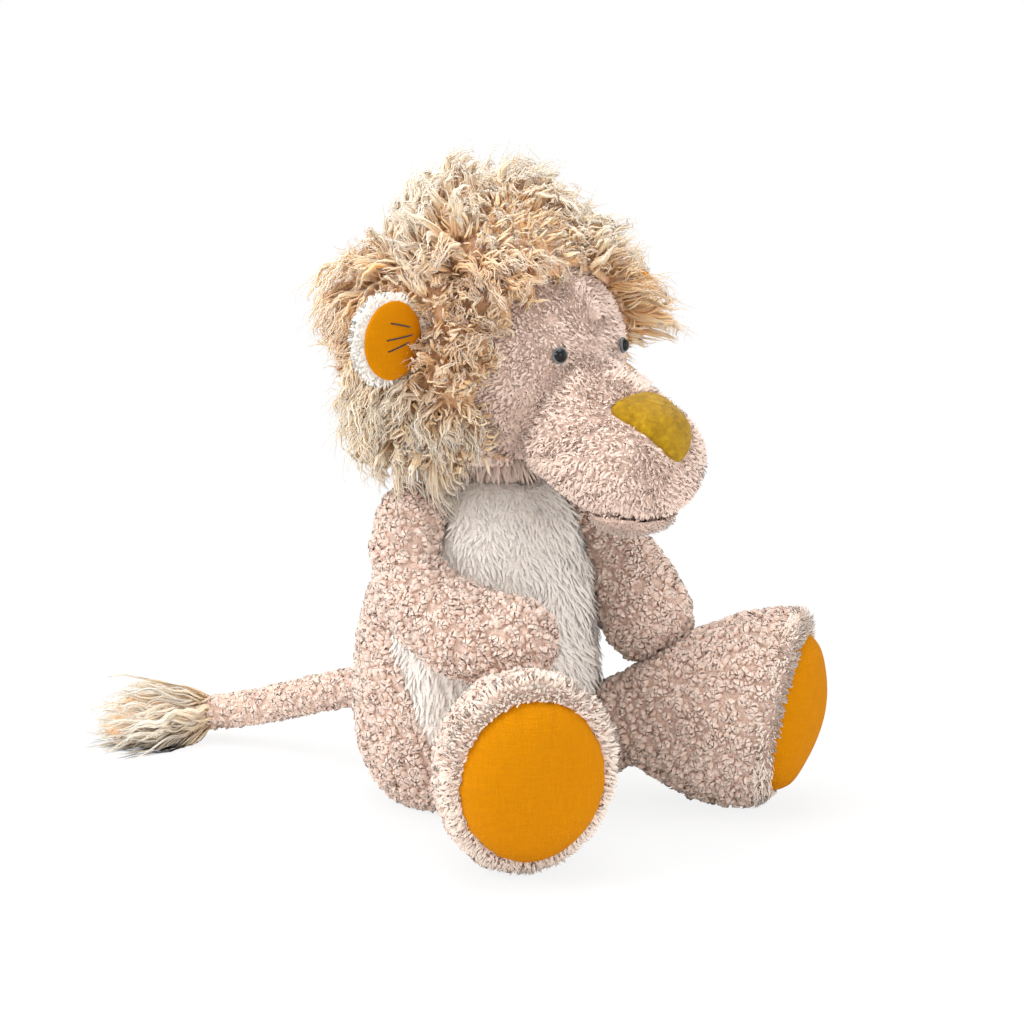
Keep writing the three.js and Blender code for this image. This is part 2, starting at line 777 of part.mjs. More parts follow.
const taupePlush = cloth("#bda394");
const creamPlush = cloth("#eae0d2");
const earPlush = cloth("#eee6dc");
const maneCurls = cloth("#dcb98a");
const mustardLinen = cloth("#dd9a16", 0.85);
const noseFelt = cloth("#b79a1c");
const fibreFilling = cloth("#f4f1ea");
const bagCloth = cloth("#d9d4c8");
const blackGlass = cloth("#0d0f12", 0.08);
const washerPlastic = cloth("#e8e6e0", 0.5);

// A solid as a named mesh in its cloth.
function toMesh(name, solid, material) {
  const { vertProperties, triVerts } = solid.getMesh();
  const geometry = new THREE.BufferGeometry();
  geometry.setAttribute("position", new THREE.BufferAttribute(new Float32Array(vertProperties), 3));
  geometry.setIndex(new THREE.BufferAttribute(new Uint32Array(triVerts), 1));
  geometry.computeVertexNormals();
  const mesh = new THREE.Mesh(geometry, material());
  mesh.name = name;
  return mesh;
}

const lion = new THREE.Group();
lion.add(
  toMesh("torso_back", torsoBack, taupePlush),
  toMesh("belly_panel", bellyPanel, creamPlush),
  toMesh("torso_stuffing", torsoStuffing, fibreFilling),
  toMesh("pellet_bag", pelletBag, bagCloth),
  toMesh("neck_stuffing", neckStuffing, fibreFilling),
  toMesh("face_panel", facePanel, taupePlush),
  toMesh("muzzle_cover", muzzleCover, taupePlush),
  toMesh("chin", chin, taupePlush),
  toMesh("nose", nose, noseFelt),
  toMesh("mane", mane, maneCurls),
  toMesh("head_stuffing", headStuffing, fibreFilling),
  toMesh("tail_cover", tailCover, taupePlush),
  toMesh("tail_stuffing", tailFilling, fibreFilling),
  toMesh("tail_tuft", tailTuft, maneCurls),
);
["right", "left"].forEach((name, i) => {
  lion.add(
    toMesh(`eye_${name}`, eyes[i].eye, blackGlass),
    toMesh(`eye_washer_${name}`, eyes[i].washer, washerPlastic),
    toMesh(`ear_back_${name}`, ears[i].back, earPlush),
    toMesh(`ear_lining_${name}`, ears[i].lining, mustardLinen),
    toMesh(`arm_cover_${name}`, arms[i].cover, taupePlush),
    toMesh(`arm_stuffing_${name}`, arms[i].filling, fibreFilling),
    toMesh(`leg_cover_${name}`, legs[i].cover, taupePlush),
    toMesh(`leg_stuffing_${name}`, legs[i].filling, fibreFilling),
    toMesh(`sole_${name}`, legs[i].sole, mustardLinen),
  );
});

export default lion;
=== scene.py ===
"""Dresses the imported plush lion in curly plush, a mohair mane, linen, felt and glass."""

import math

import bmesh
import bpy
import numpy as np
from mathutils import Matrix, Vector
from mathutils.bvhtree import BVHTree
from mathutils.kdtree import KDTree


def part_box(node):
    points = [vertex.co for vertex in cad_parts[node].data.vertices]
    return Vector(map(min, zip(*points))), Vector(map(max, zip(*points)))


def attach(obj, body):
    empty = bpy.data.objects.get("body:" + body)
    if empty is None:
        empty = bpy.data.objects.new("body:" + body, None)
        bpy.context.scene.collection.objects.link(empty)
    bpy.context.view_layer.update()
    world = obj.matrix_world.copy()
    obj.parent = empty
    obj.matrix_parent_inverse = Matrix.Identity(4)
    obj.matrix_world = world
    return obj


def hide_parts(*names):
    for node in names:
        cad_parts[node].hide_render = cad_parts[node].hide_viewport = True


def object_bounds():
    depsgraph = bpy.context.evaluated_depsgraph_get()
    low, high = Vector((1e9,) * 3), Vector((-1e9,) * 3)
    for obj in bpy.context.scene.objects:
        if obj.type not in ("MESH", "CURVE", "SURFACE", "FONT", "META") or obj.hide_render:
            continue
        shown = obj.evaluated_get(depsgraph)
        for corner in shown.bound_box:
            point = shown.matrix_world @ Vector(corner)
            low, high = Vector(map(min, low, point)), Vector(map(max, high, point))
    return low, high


bl_info = {
    "name": "Plush lion",
    "version": (1, 0, 0),
    "blender": (4, 5, 0),
    "location": "3D View > Sidebar > Plush lion",
    "description": "Dresses a seated plush lion in pile, linen, felt and glass",
    "category": "Add Mesh",
}

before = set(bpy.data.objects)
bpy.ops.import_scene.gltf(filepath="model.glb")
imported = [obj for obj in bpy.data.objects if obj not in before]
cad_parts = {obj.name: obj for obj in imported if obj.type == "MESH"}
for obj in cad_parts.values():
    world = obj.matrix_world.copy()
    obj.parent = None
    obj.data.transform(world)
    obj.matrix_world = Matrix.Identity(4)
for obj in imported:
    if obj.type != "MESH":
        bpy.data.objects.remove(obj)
CAD_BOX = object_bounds()

MM = 0.001
SIDES = {"right": -1, "left": 1}
UP = np.array([0.0, 0.0, 1.0])
AHEAD = np.array([0.0, -1.0, 0.0])
SKULL = np.array([0.0, -17.0, 232.0]) * MM
SKULL_HALVES = np.array([57.0, 64.0, 57.0]) * MM
FLOOR_CLEAR = 0.3 * MM
ROOT_DEPTH = 0.8 * MM
CURL_PETALS = 5
CURL_STATIONS = 4
MANE_MIDDLE = np.array([0.0, -9.0, 240.0]) * MM
MANE_HALVES = np.array([84.0, 67.0, 75.0]) * MM
MANE_FALL = 105 * MM
PILE_MAP = "OFBake"
WEAVE_MAP = "Weave"

FORMS = {}  # each stuffed form's smooth skin, by name
MATERIALS = {}


def linear(red, green, blue):
    """A screen colour as the linear colour that Blender's sockets take."""
    return tuple(c / 12.92 if c <= 0.04045 else ((c + 0.055) / 1.055) ** 2.4 for c in (red, green, blue))


def unit(rows):
    return rows / np.maximum(np.linalg.norm(rows, axis=-1, keepdims=True), 1e-9)


# Sizes and colours that a user would change


def metres(label, text, value):
    """A length for the panel."""
    return bpy.props.FloatProperty(name=label, description=text, default=value, subtype="DISTANCE")


def screen_colour(label, text, *colour):
    """A colour for the panel, written as a screen shows it."""
    return bpy.props.FloatVectorProperty(
        name=label, description=text, default=linear(*colour), size=3, subtype="COLOR"
    )


class LionSizes(bpy.types.PropertyGroup):
    curl_height: metres("Curl height", "How far a curl of the body plush stands up", 3.0 * MM)
    curl_width: metres("Curl width", "Half the width of one curl", 2.0 * MM)
    curl_spacing: metres("Curl spacing", "Distance between two curls", 4.3 * MM)
    nap_length: metres("Face pile length", "Length of the pile on the face", 6.5 * MM)
    belly_length: metres("Belly pile length", "Length of the pile on the belly", 7 * MM)
    lock_length: metres("Mane lock length", "Length of one lock of the mane", 42 * MM)
    lock_spacing: metres("Mane lock spacing", "Distance between two locks", 5.5 * MM)
    tuft_length: metres("Tail tuft length", "Length of the hair at the tail's end", 58 * MM)
    thread_pitch: metres("Linen thread", "Distance between two threads of the linen", 0.55 * MM)


class LionColours(bpy.types.PropertyGroup):
    plush_tip: screen_colour("Plush tips", "Outer end of the body plush", 0.99, 0.92, 0.87)
    plush_root: screen_colour("Plush roots", "Inner end of the body plush", 0.93, 0.76, 0.67)
    cream: screen_colour("Cream plush", "Belly and ear plush", 1.0, 0.96, 0.925)
    mane_tip: screen_colour("Mane tips", "Outer end of the mane's hair", 1.0, 0.925, 0.85)
    mane_root: screen_colour("Mane roots", "Inner end of the mane's hair", 0.99, 0.73, 0.47)
    linen: screen_colour("Linen", "Soles and ear linings", 0.81, 0.51, 0.0)
    felt: screen_colour("Nose felt", "The nose patch", 0.71, 0.54, 0.07)


# Materials


class Socket:
    """A node's output that takes part in sums written in Python."""

    def __init__(self, shade, output):
        self.shade = shade
        self.output = output

    def maths(self, operation, *others, flip=False):
        values = [self, *others]
        if flip:
            values.reverse()
        return self.shade.add("ShaderNodeMath", {"operation": operation}, dict(enumerate(values)))

    def __add__(self, other):
        return self.maths("ADD", other)

    def __sub__(self, other):
        return self.maths("SUBTRACT", other)

    def __mul__(self, other):
        return self.maths("MULTIPLY", other)

    def __truediv__(self, other):
        return self.maths("DIVIDE", other)

    def __pow__(self, other):
        return self.maths("POWER", other)

    def __radd__(self, other):
        return self.maths("ADD", other)

    def __rmul__(self, other):
        return self.maths("MULTIPLY", other)

    def __rsub__(self, other):
        return self.maths("SUBTRACT", other, flip=True)


class Shade:
    """One material, and the nodes that make its pattern."""

    def __init__(self, name, roughness=0.95, **constants):
        self.material = bpy.data.materials.new(name)
        self.material.use_nodes = True
        self.tree = self.material.node_tree
        self.surface = self.tree.nodes["Principled BSDF"]
        self.set("Roughness", roughness)
        for socket, value in constants.items():
            self.set(socket.replace("_", " "), value)
        MATERIALS[name] = self.material

    def plug(self, target, value):
        """Gives an input a value, or links another node's output to it."""
        if isinstance(value, Socket):
            self.tree.links.new(value.output, target)
        elif target.type == "RGBA" and len(value) == 3:
            target.default_value = (*value, 1)
        else:
            target.default_value = value

    def set(self, socket, value):
        self.plug(self.surface.inputs[socket], value)

    def add(self, kind, settings, inputs, output=0):
        node = self.tree.nodes.new(kind)
        for key, value in settings.items():
            if key == "stops":
                ramp = node.color_ramp
                while len(ramp.elements) < len(value):
                    ramp.elements.new(0.5)
                for element, (place, colour) in zip(ramp.elements, value):
                    element.position = place
                    element.color = (*colour, 1)
            else:
                setattr(node, key, value)
        for key, value in inputs.items():
            self.plug(node.inputs[key], value)
        return Socket(self, node.outputs[output])

    def place(self, scale=1.0, stretch=(1, 1, 1)):
        """Object coordinates, in which one unit is a millimetre over scale."""
        spot = self.add("ShaderNodeTexCoord", {}, {}, "Object")
        size = [1000 * scale * s for s in stretch]
        return self.add("ShaderNodeMapping", {}, {"Vector": spot, "Scale": size})

    def noise(self, scale, where=None, detail=3.0, roughness=0.6, distortion=0.0, stretch=(1, 1, 1)):
        """Cloudy noise whose patches are about scale millimetres wide."""
        inputs = {"Vector": where or self.place(1 / scale, stretch), "Scale": 1.0}
        inputs |= {"Detail": detail, "Roughness": roughness, "Distortion": distortion}
        return self.add("ShaderNodeTexNoise", {}, inputs, "Fac")

    def ramp(self, factor, *stops):
        return self.add("ShaderNodeValToRGB", {"stops": stops}, {"Fac": factor}, "Color")

    def mix(self, factor, first, second):
        """Two colours mixed. The numbers are those of the node's colour sockets."""
        return self.add("ShaderNodeMix", {"data_type": "RGBA"}, {0: factor, 6: first, 7: second}, 2)

    def map_axes(self, name):
        """The two numbers of one of the piece's own UV maps."""
        spot = self.add("ShaderNodeUVMap", {"uv_map": name}, {})
        split = self.add("ShaderNodeSeparateXYZ", {}, {0: spot})
        return split, Socket(self, split.output.node.outputs[1])

    def bump(self, height, distance, strength=1.0):
        sizes = {"Height": height, "Distance": distance, "Strength": strength}
        self.set("Normal", self.add("ShaderNodeBump", {}, sizes, "Normal"))


def mixed(first, second, share):
    return tuple(a + (b - a) * share for a, b in zip(first, second))


def scaled(colour, share):
    return tuple(min(c * share, 1) for c in colour)


def pile_material(name, root, tip, depth=0.35, vary=0.2, sheen=0.25, fibres=0.25, through=0.0, deep_tip=None,
                  pale_root=None):
    """Pile that is darker at its roots, differs from strand to strand, and lets some light through."""
    shade = Shade(name, Sheen_Weight=sheen, Sheen_Roughness=0.5, Specular_IOR_Level=0.25,
                  Subsurface_Weight=through, Subsurface_Radius=(1, 0.75, 0.55), Subsurface_Scale=2.5 * MM)
    strand, along = shade.map_axes(PILE_MAP)
    deep_tip = deep_tip or tip
    dark = [(0.0, scaled(root, 1 - vary)), (depth, scaled(mixed(root, deep_tip, 0.5), 1 - vary)),
            (1.0, scaled(deep_tip, 1 - vary))]
    pale_root = pale_root or root
    pale = [(0.0, pale_root), (depth, mixed(pale_root, tip, 0.7)), (1.0, scaled(tip, 1 + vary * 0.35))]
    colour = shade.mix(strand, shade.ramp(along, *dark), shade.ramp(along, *pale))
    spot = shade.add("ShaderNodeUVMap", {"uv_map": PILE_MAP}, {})
    streaks = shade.add("ShaderNodeMapping", {}, {"Vector": spot, "Scale": (260, 5, 1)})
    streak = shade.noise(1, streaks, detail=2.0)
    shade.set("Base Color", shade.mix(streak * fibres, colour, scaled(root, 0.95)))


def ground_material(name, colour, grain=1.4, relief=1.6 * MM):
    """The cloth under a pile, as it shows between the strands: little knots of short fibre."""
    shade = Shade(name, Sheen_Weight=0.2, Specular_IOR_Level=0.2)
    fine = shade.noise(grain * 0.5, detail=4.0, distortion=1.0)
    coarse = shade.place(1 / (2 * grain))
    clouds = shade.add("ShaderNodeTexNoise", {}, {"Vector": coarse, "Scale": 1.0}, "Color")
    parts = {0: clouds, 1: (1.2, 1.2, 1.2), 2: coarse}
    warp = shade.add("ShaderNodeVectorMath", {"operation": "MULTIPLY_ADD"}, parts, "Vector")
    cells = {"Vector": warp, "Scale": 1.0, "Smoothness": 0.6}
    knots = shade.add("ShaderNodeTexVoronoi", {"feature": "SMOOTH_F1"}, cells, "Distance")
    height = 1 - knots + fine * 0.5
    tone = shade.ramp(height, (0.5, scaled(colour, 0.8)), (0.85, colour), (1.15, scaled(colour, 1.1)))
    broad = shade.noise(18)
    shade.set("Base Color", shade.mix(broad * 0.25, tone, scaled(colour, 0.8)))
    shade.bump(height, relief)


def linen_material(name, colour, pitch):
    """Plain-woven linen with thick and thin threads, on the piece's own weave map in millimetres."""
    shade = Shade(name, roughness=0.95, Specular_IOR_Level=0.1)
    weft, warp = shade.map_axes(WEAVE_MAP)
    turn = 2 * math.pi / (pitch / MM * 2)
    over = (weft * turn).maths("SINE") * (warp * turn).maths("SINE")
    threads = over * 0.5 + 0.5
    spot = shade.add("ShaderNodeUVMap", {"uv_map": WEAVE_MAP}, {})
    slubs = []
    for size in ((0.1, 2.2, 1), (2.2, 0.1, 1)):
        run = shade.add("ShaderNodeMapping", {}, {"Vector": spot, "Scale": size})
        slubs.append(shade.noise(1, run, detail=2.0))
    broad = shade.noise(9)
    slub = slubs[0] * 0.5 + slubs[1] * 0.5
    tone = shade.ramp(slub, (0.36, scaled(colour, 0.88)), (0.5, colour), (0.64, scaled(colour, 1.12)))
    tone = shade.mix(threads * 0.2, tone, scaled(colour, 0.7))
    shade.set("Base Color", shade.mix(broad * 0.25, tone, scaled(colour, 0.86)))
    shade.bump(threads * 0.6 + slub, 0.25 * MM)


def felt_material(name, colour):
    """Pressed wool: olive and yellow fibres matted together."""
    shade = Shade(name, Sheen_Weight=0.15, Sheen_Roughness=0.4, Specular_IOR_Level=0.2)
    patches = shade.noise(6, detail=5.0, distortion=1.2)
    fibres = shade.noise(0.9, detail=5.0, distortion=2.5)
    tone = shade.ramp(
        patches, (0.3, mixed(colour, linear(0.47, 0.38, 0.09), 0.7)), (0.5, colour),
        (0.7, mixed(colour, linear(0.83, 0.68, 0.1), 0.8)),
    )
    shade.set("Base Color", shade.mix(fibres * 0.5, tone, scaled(colour, 0.62)))
    shade.bump(fibres * 0.7 + patches, 0.5 * MM)


# Each finish with no pile: the width in mm, detail and swirl of its cloudy pattern, the pattern's two colours
# with their places, the height of its relief in mm, and the surface's constants.
PLAIN_FINISHES = {
    "eye_black_glass": (3, 3.0, 0.0, (0.3, (0.03, 0.035, 0.045)), (0.8, (0.07, 0.08, 0.1)), 0,
                        {"roughness": 0.08, "Specular_IOR_Level": 0.35}),
    "eye_grey_rim": (1.2, 3.0, 0.0, (0.3, (0.3, 0.31, 0.32)), (0.7, (0.45, 0.46, 0.47)), 0,
                     {"roughness": 0.3, "Coat_Weight": 0.4, "Coat_Roughness": 0.1}),
    "stitch_thread": (0.5, 2.0, 0.0, (0.3, (0.1, 0.07, 0.04)), (0.7, (0.24, 0.17, 0.1)), 0.2,
                      {"roughness": 0.8, "Sheen_Weight": 0.3}),
    "washer_nylon": (2, 3.0, 0.0, (0.3, (0.86, 0.86, 0.83)), (0.7, (0.92, 0.92, 0.9)), 0, {"roughness": 0.5}),
    "fibre_filling": (2.5, 6.0, 2.0, (0.3, (0.84, 0.83, 0.8)), (0.7, (0.98, 0.97, 0.95)), 1.5,
                      {"Sheen_Weight": 0.3}),
    "pellet_bag_cotton": (0.8, 2.0, 0.0, (0.3, (0.76, 0.74, 0.68)), (0.7, (0.9, 0.88, 0.82)), 0.3,
                          {"roughness": 0.9}),
}


def plain_materials():
    for name, (grain, detail, swirl, dark, pale, relief, constants) in PLAIN_FINISHES.items():
        shade = Shade(name, **constants)
        cloud = shade.noise(grain, detail=detail, distortion=swirl)
        stops = [(place, linear(*colour)) for place, colour in (dark, pale)]
        shade.set("Base Color", shade.ramp(cloud, *stops))
        if relief:
            shade.bump(cloud, relief * MM)


def seen_directly(shade):
    """1 for what the camera sees straight, by a reflection or through glass."""
    kinds = ("Camera", "Glossy", "Transmission")
    camera, glossy, through = (shade.add("ShaderNodeLightPath", {}, {}, f"Is {kind} Ray") for kind in kinds)
    return camera.maths("MAXIMUM", glossy).maths("MAXIMUM", through)


def studio_floor_material():
    """A pale floor that keeps the lion's shadow, and fades to white further out."""
    shade = Shade("studio_white", roughness=0.9, Base_Color=(0.9, 0.9, 0.9))
    spot = shade.add("ShaderNodeTexCoord", {}, {}, "Object")
    reach = shade.add("ShaderNodeVectorMath", {"operation": "LENGTH"}, {0: spot}, "Value")
    fade = shade.ramp(reach, (0.2, (0.85, 0.85, 0.85)), (0.6, (1, 1, 1)))
    glow = shade.add("ShaderNodeEmission", {}, {"Color": (1, 1, 1), "Strength": 1.0})
    factor = fade * seen_directly(shade)
    plain = Socket(shade, shade.surface.outputs[0])
    both = shade.add("ShaderNodeMixShader", {}, {0: factor, 1: plain, 2: glow})
    shade.tree.links.new(both.output, shade.tree.nodes["Material Output"].inputs["Surface"])
    return shade.material


def studio_world():
    """Even pale light, seen as white."""
    world = bpy.data.worlds.new("studio")
    world.use_nodes = True
    nodes, links = world.node_tree.nodes, world.node_tree.links
    sky = nodes["Background"]
    sky.inputs["Color"].default_value = (1, 1, 1, 1)
    sky.inputs["Strength"].default_value = 0.68
    seen = nodes.new("ShaderNodeBackground")
    seen.inputs["Strength"].default_value = 1.0
    path = nodes.new("ShaderNodeLightPath")
    pick = nodes.new("ShaderNodeMixShader")
    links.new(path.outputs["Is Camera Ray"], pick.inputs[0])
    links.new(sky.outputs[0], pick.inputs[1])
    links.new(seen.outputs[0], pick.inputs[2])
    links.new(pick.outputs[0], nodes["World Output"].inputs["Surface"])
    return world


def make_materials(sizes, colours):
    tip, root, cream, mane_tip, mane_root, linen, felt = (
        tuple(getattr(colours, key))
        for key in ("plush_tip", "plush_root", "cream", "mane_tip", "mane_root", "linen", "felt")
    )
    mane_tip = scaled(mane_tip, 1.12)
    pile_material("body_curls", root, tip, depth=0.45, vary=0.15)
    pile_material("face_nap", mixed(root, tip, 0.3), mixed(tip, root, 0.15), depth=0.4, vary=0.12)
    pile_material("rim_nap", mixed(root, tip, 0.3), scaled(tip, 1.08), vary=0.1)
    pile_material("belly_nap", scaled(cream, 0.94), scaled(cream, 1.03), depth=0.25, vary=0.03, fibres=0.1)
    pile_material("ear_nap", scaled(cream, 0.97), scaled(cream, 1.08), depth=0.3, vary=0.03, fibres=0.1)
    pile_material("mane_hair", mane_root, mane_tip, depth=0.5, vary=0.03, fibres=0.2, sheen=0.15, through=0.6,
                  deep_tip=mixed(mane_root, mane_tip, 0.5), pale_root=mixed(mane_root, mane_tip, 0.4))
    pile_material("nose_fuzz", scaled(felt, 0.7), scaled(felt, 1.15), vary=0.3)
    ground_material("plush_ground", mixed(root, tip, 0.45))
    ground_material("cream_ground", scaled(cream, 0.97), grain=0.9, relief=0.5 * MM)
    ground_material("mane_ground", mixed(mane_root, mane_tip, 0.3))
    linen_material("mustard_linen", linen, sizes.thread_pitch)
    felt_material("nose_felt", felt)
    plain_materials()


# Meshes


def select_only(piece):
    bpy.ops.object.select_all(action="DESELECT")
    piece.select_set(True)
    bpy.context.view_layer.objects.active = piece


def modified(piece, kind, **settings):
    """Adds one modifier and applies it."""
    modifier = piece.modifiers.new(kind.title(), kind)
    for key, value in settings.items():
        setattr(modifier, key, value)
    select_only(piece)
    bpy.ops.object.modifier_apply(modifier=modifier.name)
    return piece


def new_piece(name, data):
    piece = bpy.data.objects.new(name, data)
    bpy.context.scene.collection.objects.link(piece)
    return piece


def shaped(name, shape):
    """A new piece from a bmesh, which is used up."""
    mesh = bpy.data.meshes.new(name)
    shape.to_mesh(mesh)
    shape.free()
    return new_piece(name, mesh)


def sphere(name, segments, rings, radius=1):
    """A sphere whose vertices, edges and faces come in the same order at every run."""
    bpy.ops.object.select_all(action="DESELECT")
    bpy.ops.mesh.primitive_uv_sphere_add(segments=segments, ring_count=rings, radius=radius)
    piece = bpy.context.object
    piece.name = name
    shape = bmesh.new()
    shape.from_mesh(piece.data)
    for rows in (shape.verts, shape.edges, shape.faces):
        corners = [[vertex.co for vertex in getattr(row, "verts", [row])] for row in rows]
        middles = [tuple(round(c, 6) for c in sum(spots, Vector()) / len(spots)) for spots in corners]
        ranks = np.argsort(sorted(range(len(middles)), key=middles.__getitem__))
        rows.sort(key=lambda row, ranks=ranks: float(ranks[row.index]))
        rows.index_update()
    shape.to_mesh(piece.data)
    shape.free()
    return piece


def moved(piece, spots):
    """Puts a piece's vertices in new places."""
    piece.data.vertices.foreach_set("co", spots.reshape(-1))
    piece.data.update()


def woven(piece, spots):
    """Lays the weave's map flat over a piece, from its vertices' places in mm."""
    layer = piece.data.uv_layers.new(name=WEAVE_MAP)
    for loop in piece.data.loops:
        layer.data[loop.index].uv = spots[loop.vertex_index][:2]


def finished(piece, body, slot, *materials, nodes=(), fill=None):
    """Gives a piece its materials, its body, its record slot, the CAD nodes it stands for and its padding."""
    for material in materials:
        piece.data.materials.append(MATERIALS[material])
    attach(piece, body)
    if nodes:
        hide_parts(*nodes)
    return piece


def covered(form, name, body, node, fill):
    """Turns a stuffed form into a cover of curly plush."""
    piece = bpy.data.objects[form]
    piece.name = name
    finished(piece, body, "taupe_boucle", "plush_ground", nodes=[node], fill=fill)


def smooth_shaded(piece):
    piece.data.polygons.foreach_set("use_smooth", np.ones(len(piece.data.polygons), bool))
    piece.data.update()


def threes(rows, key, kind=float):
    """One attribute of a mesh's vertices or triangles, as rows of three."""
    values = np.empty(len(rows) * 3, kind)
    rows.foreach_get(key, values)
    return values.reshape(-1, 3)


class Skin:
    """A form's outer skin as arrays, with a tree for finding its nearest point."""

    def __init__(self, piece):
        mesh = piece.data
        mesh.calc_loop_triangles()
        self.spots = threes(mesh.vertices, "co")
        self.ups = threes(mesh.vertices, "normal")
        self.faces = threes(mesh.loop_triangles, "vertices", np.int32)
        self.tree = BVHTree.FromPolygons(self.spots.tolist(), self.faces.tolist())

    def depth(self, spots):
        """How deep each point lies inside the skin; negative outside it."""
        found = []
        for spot in spots:
            near, up, _, distance = self.tree.find_nearest(Vector(spot))
            inside = (Vector(spot) - near).dot(up) < 0
            found.append(distance if inside else -distance)
        return np.array(found)


def outer_shell(piece):
    """Keeps only the largest closed skin of a remeshed form."""
    shape = bmesh.new()
    shape.from_mesh(piece.data)
    left = set(shape.verts)
    largest = []
    while left:
        island, edge = [], [left.pop()]
        while edge:
            vertex = edge.pop()
            island.append(vertex)
            for link in vertex.link_edges:
                other = link.other_vert(vertex)
                if other in left:
                    left.remove(other)
                    edge.append(other)
        if len(island) > len(largest):
            largest = island
    keep = set(largest)
    bmesh.ops.delete(shape, geom=[v for v in shape.verts if v not in keep], context="VERTS")
    shape.to_mesh(piece.data)
    shape.free()


def stuffed(name, nodes, voxel=2.4 * MM, inset=1.1 * MM, rounds=8):
    """The smooth outer form of some CAD nodes, pressed in a little to make room for the pile."""
    shape = bmesh.new()
    for node in nodes:
        shape.from_mesh(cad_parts[node].data)
    bmesh.ops.remove_doubles(shape, verts=shape.verts, dist=0.01 * MM)
    piece = shaped(name, shape)
    modified(piece, "REMESH", mode="VOXEL", voxel_size=voxel, use_smooth_shade=True)
    outer_shell(piece)
    modified(piece, "SMOOTH", factor=0.5, iterations=rounds)
    if inset:
        modified(piece, "DISPLACE", strength=-inset, mid_level=0.0)
    smooth_shaded(piece)
    FORMS[name] = Skin(piece)
    return piece


def distances(spots, nodes):
    """How far each point lies from each CAD node's surface."""
    trees = []
    for node in nodes:
        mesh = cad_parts[node].data
        trees.append(BVHTree.FromPolygons([v.co for v in mesh.vertices], [p.vertices for p in mesh.polygons]))
    return np.array([[tree.find_nearest(Vector(spot))[3] for tree in trees] for spot in spots])


def belonging(nodes, index):
    """A test for the points that lie nearest to one of some CAD nodes."""
    return lambda spots: np.argmin(distances(spots, nodes), axis=1) == index


def cut_out(form, name, keep, wall=1.2 * MM):
    """A closed piece of a form's skin: the faces whose middle keep() takes, with a wall behind them."""
    shape = bmesh.new()
    shape.from_mesh(form.data)
    shape.faces.ensure_lookup_table()
    middles = np.array([face.calc_center_median() for face in shape.faces])
    wanted = keep(middles)
    bmesh.ops.delete(shape, geom=[f for f, w in zip(shape.faces, wanted) if not w], context="FACES")
    piece = shaped(name, shape)
    modified(piece, "SOLIDIFY", thickness=wall, offset=-1.0)
    smooth_shaded(piece)
    return piece


def discard(piece):
    mesh = piece.data
    bpy.data.objects.remove(piece)
    bpy.data.meshes.remove(mesh)


# Pile


def sown(skin, spacing, rng, keep=None):
    """Root points spread evenly over a skin, each with the skin's upward direction."""
    corners = skin.spots[skin.faces]
    crossed = np.cross(corners[:, 1] - corners[:, 0], corners[:, 2] - corners[:, 0])
    areas = np.linalg.norm(crossed, axis=1) / 2
    count = int(areas.sum() / spacing**2 * 5)
    picks = rng.choice(len(areas), count, p=areas / areas.sum())
    a, b = rng.random((2, count))
    over = a + b > 1
    a[over], b[over] = 1 - a[over], 1 - b[over]
    weights = np.stack([1 - a - b, a, b], axis=1)[:, :, None]
    spots = (corners[picks] * weights).sum(1)
    ups = unit((skin.ups[skin.faces[picks]] * weights).sum(1))
    cells = np.floor(spots / spacing).astype(int)
    _, first = np.unique(cells, axis=0, return_index=True)
    first = rng.permutation(first)
    spots, ups = spots[first], ups[first]
    if keep is not None:
        wanted = keep(spots)
        spots, ups = spots[wanted], ups[wanted]
    return spots, ups


def clear_of(spots, ups, forms, lift=2.5 * MM):
    """True where a point just above the cloth lies outside all the named forms."""
    clear = np.ones(len(spots), bool)
    for name in forms:
        left = np.flatnonzero(clear)
        skin = FORMS[name]
        lowest, highest = skin.spots.min(0), skin.spots.max(0)
        heads = spots[left] + ups[left] * lift
        near = ((heads > lowest) & (heads < highest)).all(1)
        left, heads = left[near], heads[near]
        clear[left[skin.depth(heads) > 0]] = False
    return clear


def laid(ups, towards, rng, spread):
    """A direction along the cloth for each root: towards a way, turned by up to spread radians."""
    along = unit(towards - (towards * ups).sum(1, keepdims=True) * ups)
    aside = np.cross(ups, along)
    turn = rng.uniform(-spread, spread, len(ups))[:, None]
    return along * np.cos(turn) + aside * np.sin(turn)


def grown(spots, ups, lay, length, rng, stations, lean=(0.2, 1.0), sway=0.0, turns=1.0, fall=0.0, hook=0.0,
          sunk=ROOT_DEPTH):
    """Paths that leave the cloth, lean over from one angle to another, and wave from side to side."""
    count = len(spots)
    t = np.linspace(0, 1, stations)[None, :]
    lean_by = lean[0] + (lean[1] - lean[0]) * t + hook * np.sin(math.pi * t) * rng.uniform(-1, 1, (count, 1))
    lean_by = lean_by * rng.uniform(0.75, 1.25, (count, 1))
    phase = rng.uniform(0, 2 * math.pi, (count, 1))
    beat = turns * rng.uniform(0.7, 1.3, (count, 1))
    wave = sway * rng.uniform(0.5, 1.3, (count, 1)) * np.sin(2 * math.pi * beat * t + phase)
    aside = np.cross(ups, lay)
    way = ups[:, None] * np.cos(lean_by)[..., None] + lay[:, None] * np.sin(lean_by)[..., None]
    way = way + aside[:, None] * wave[..., None] - UP * fall * t[..., None]
    steps = unit(way) * (length[:, None] / (stations - 1))[..., None]
    paths = np.cumsum(steps, axis=1) - steps
    return spots[:, None] - ups[:, None] * sunk + paths


def nearest_of(spots, centres):
    """The number of the centre that lies nearest to each point."""
    tree = KDTree(len(centres))
    for i, centre in enumerate(centres):
        tree.insert(centre, i)
    tree.balance()
    return np.array([tree.find(spot)[1] for spot in spots])


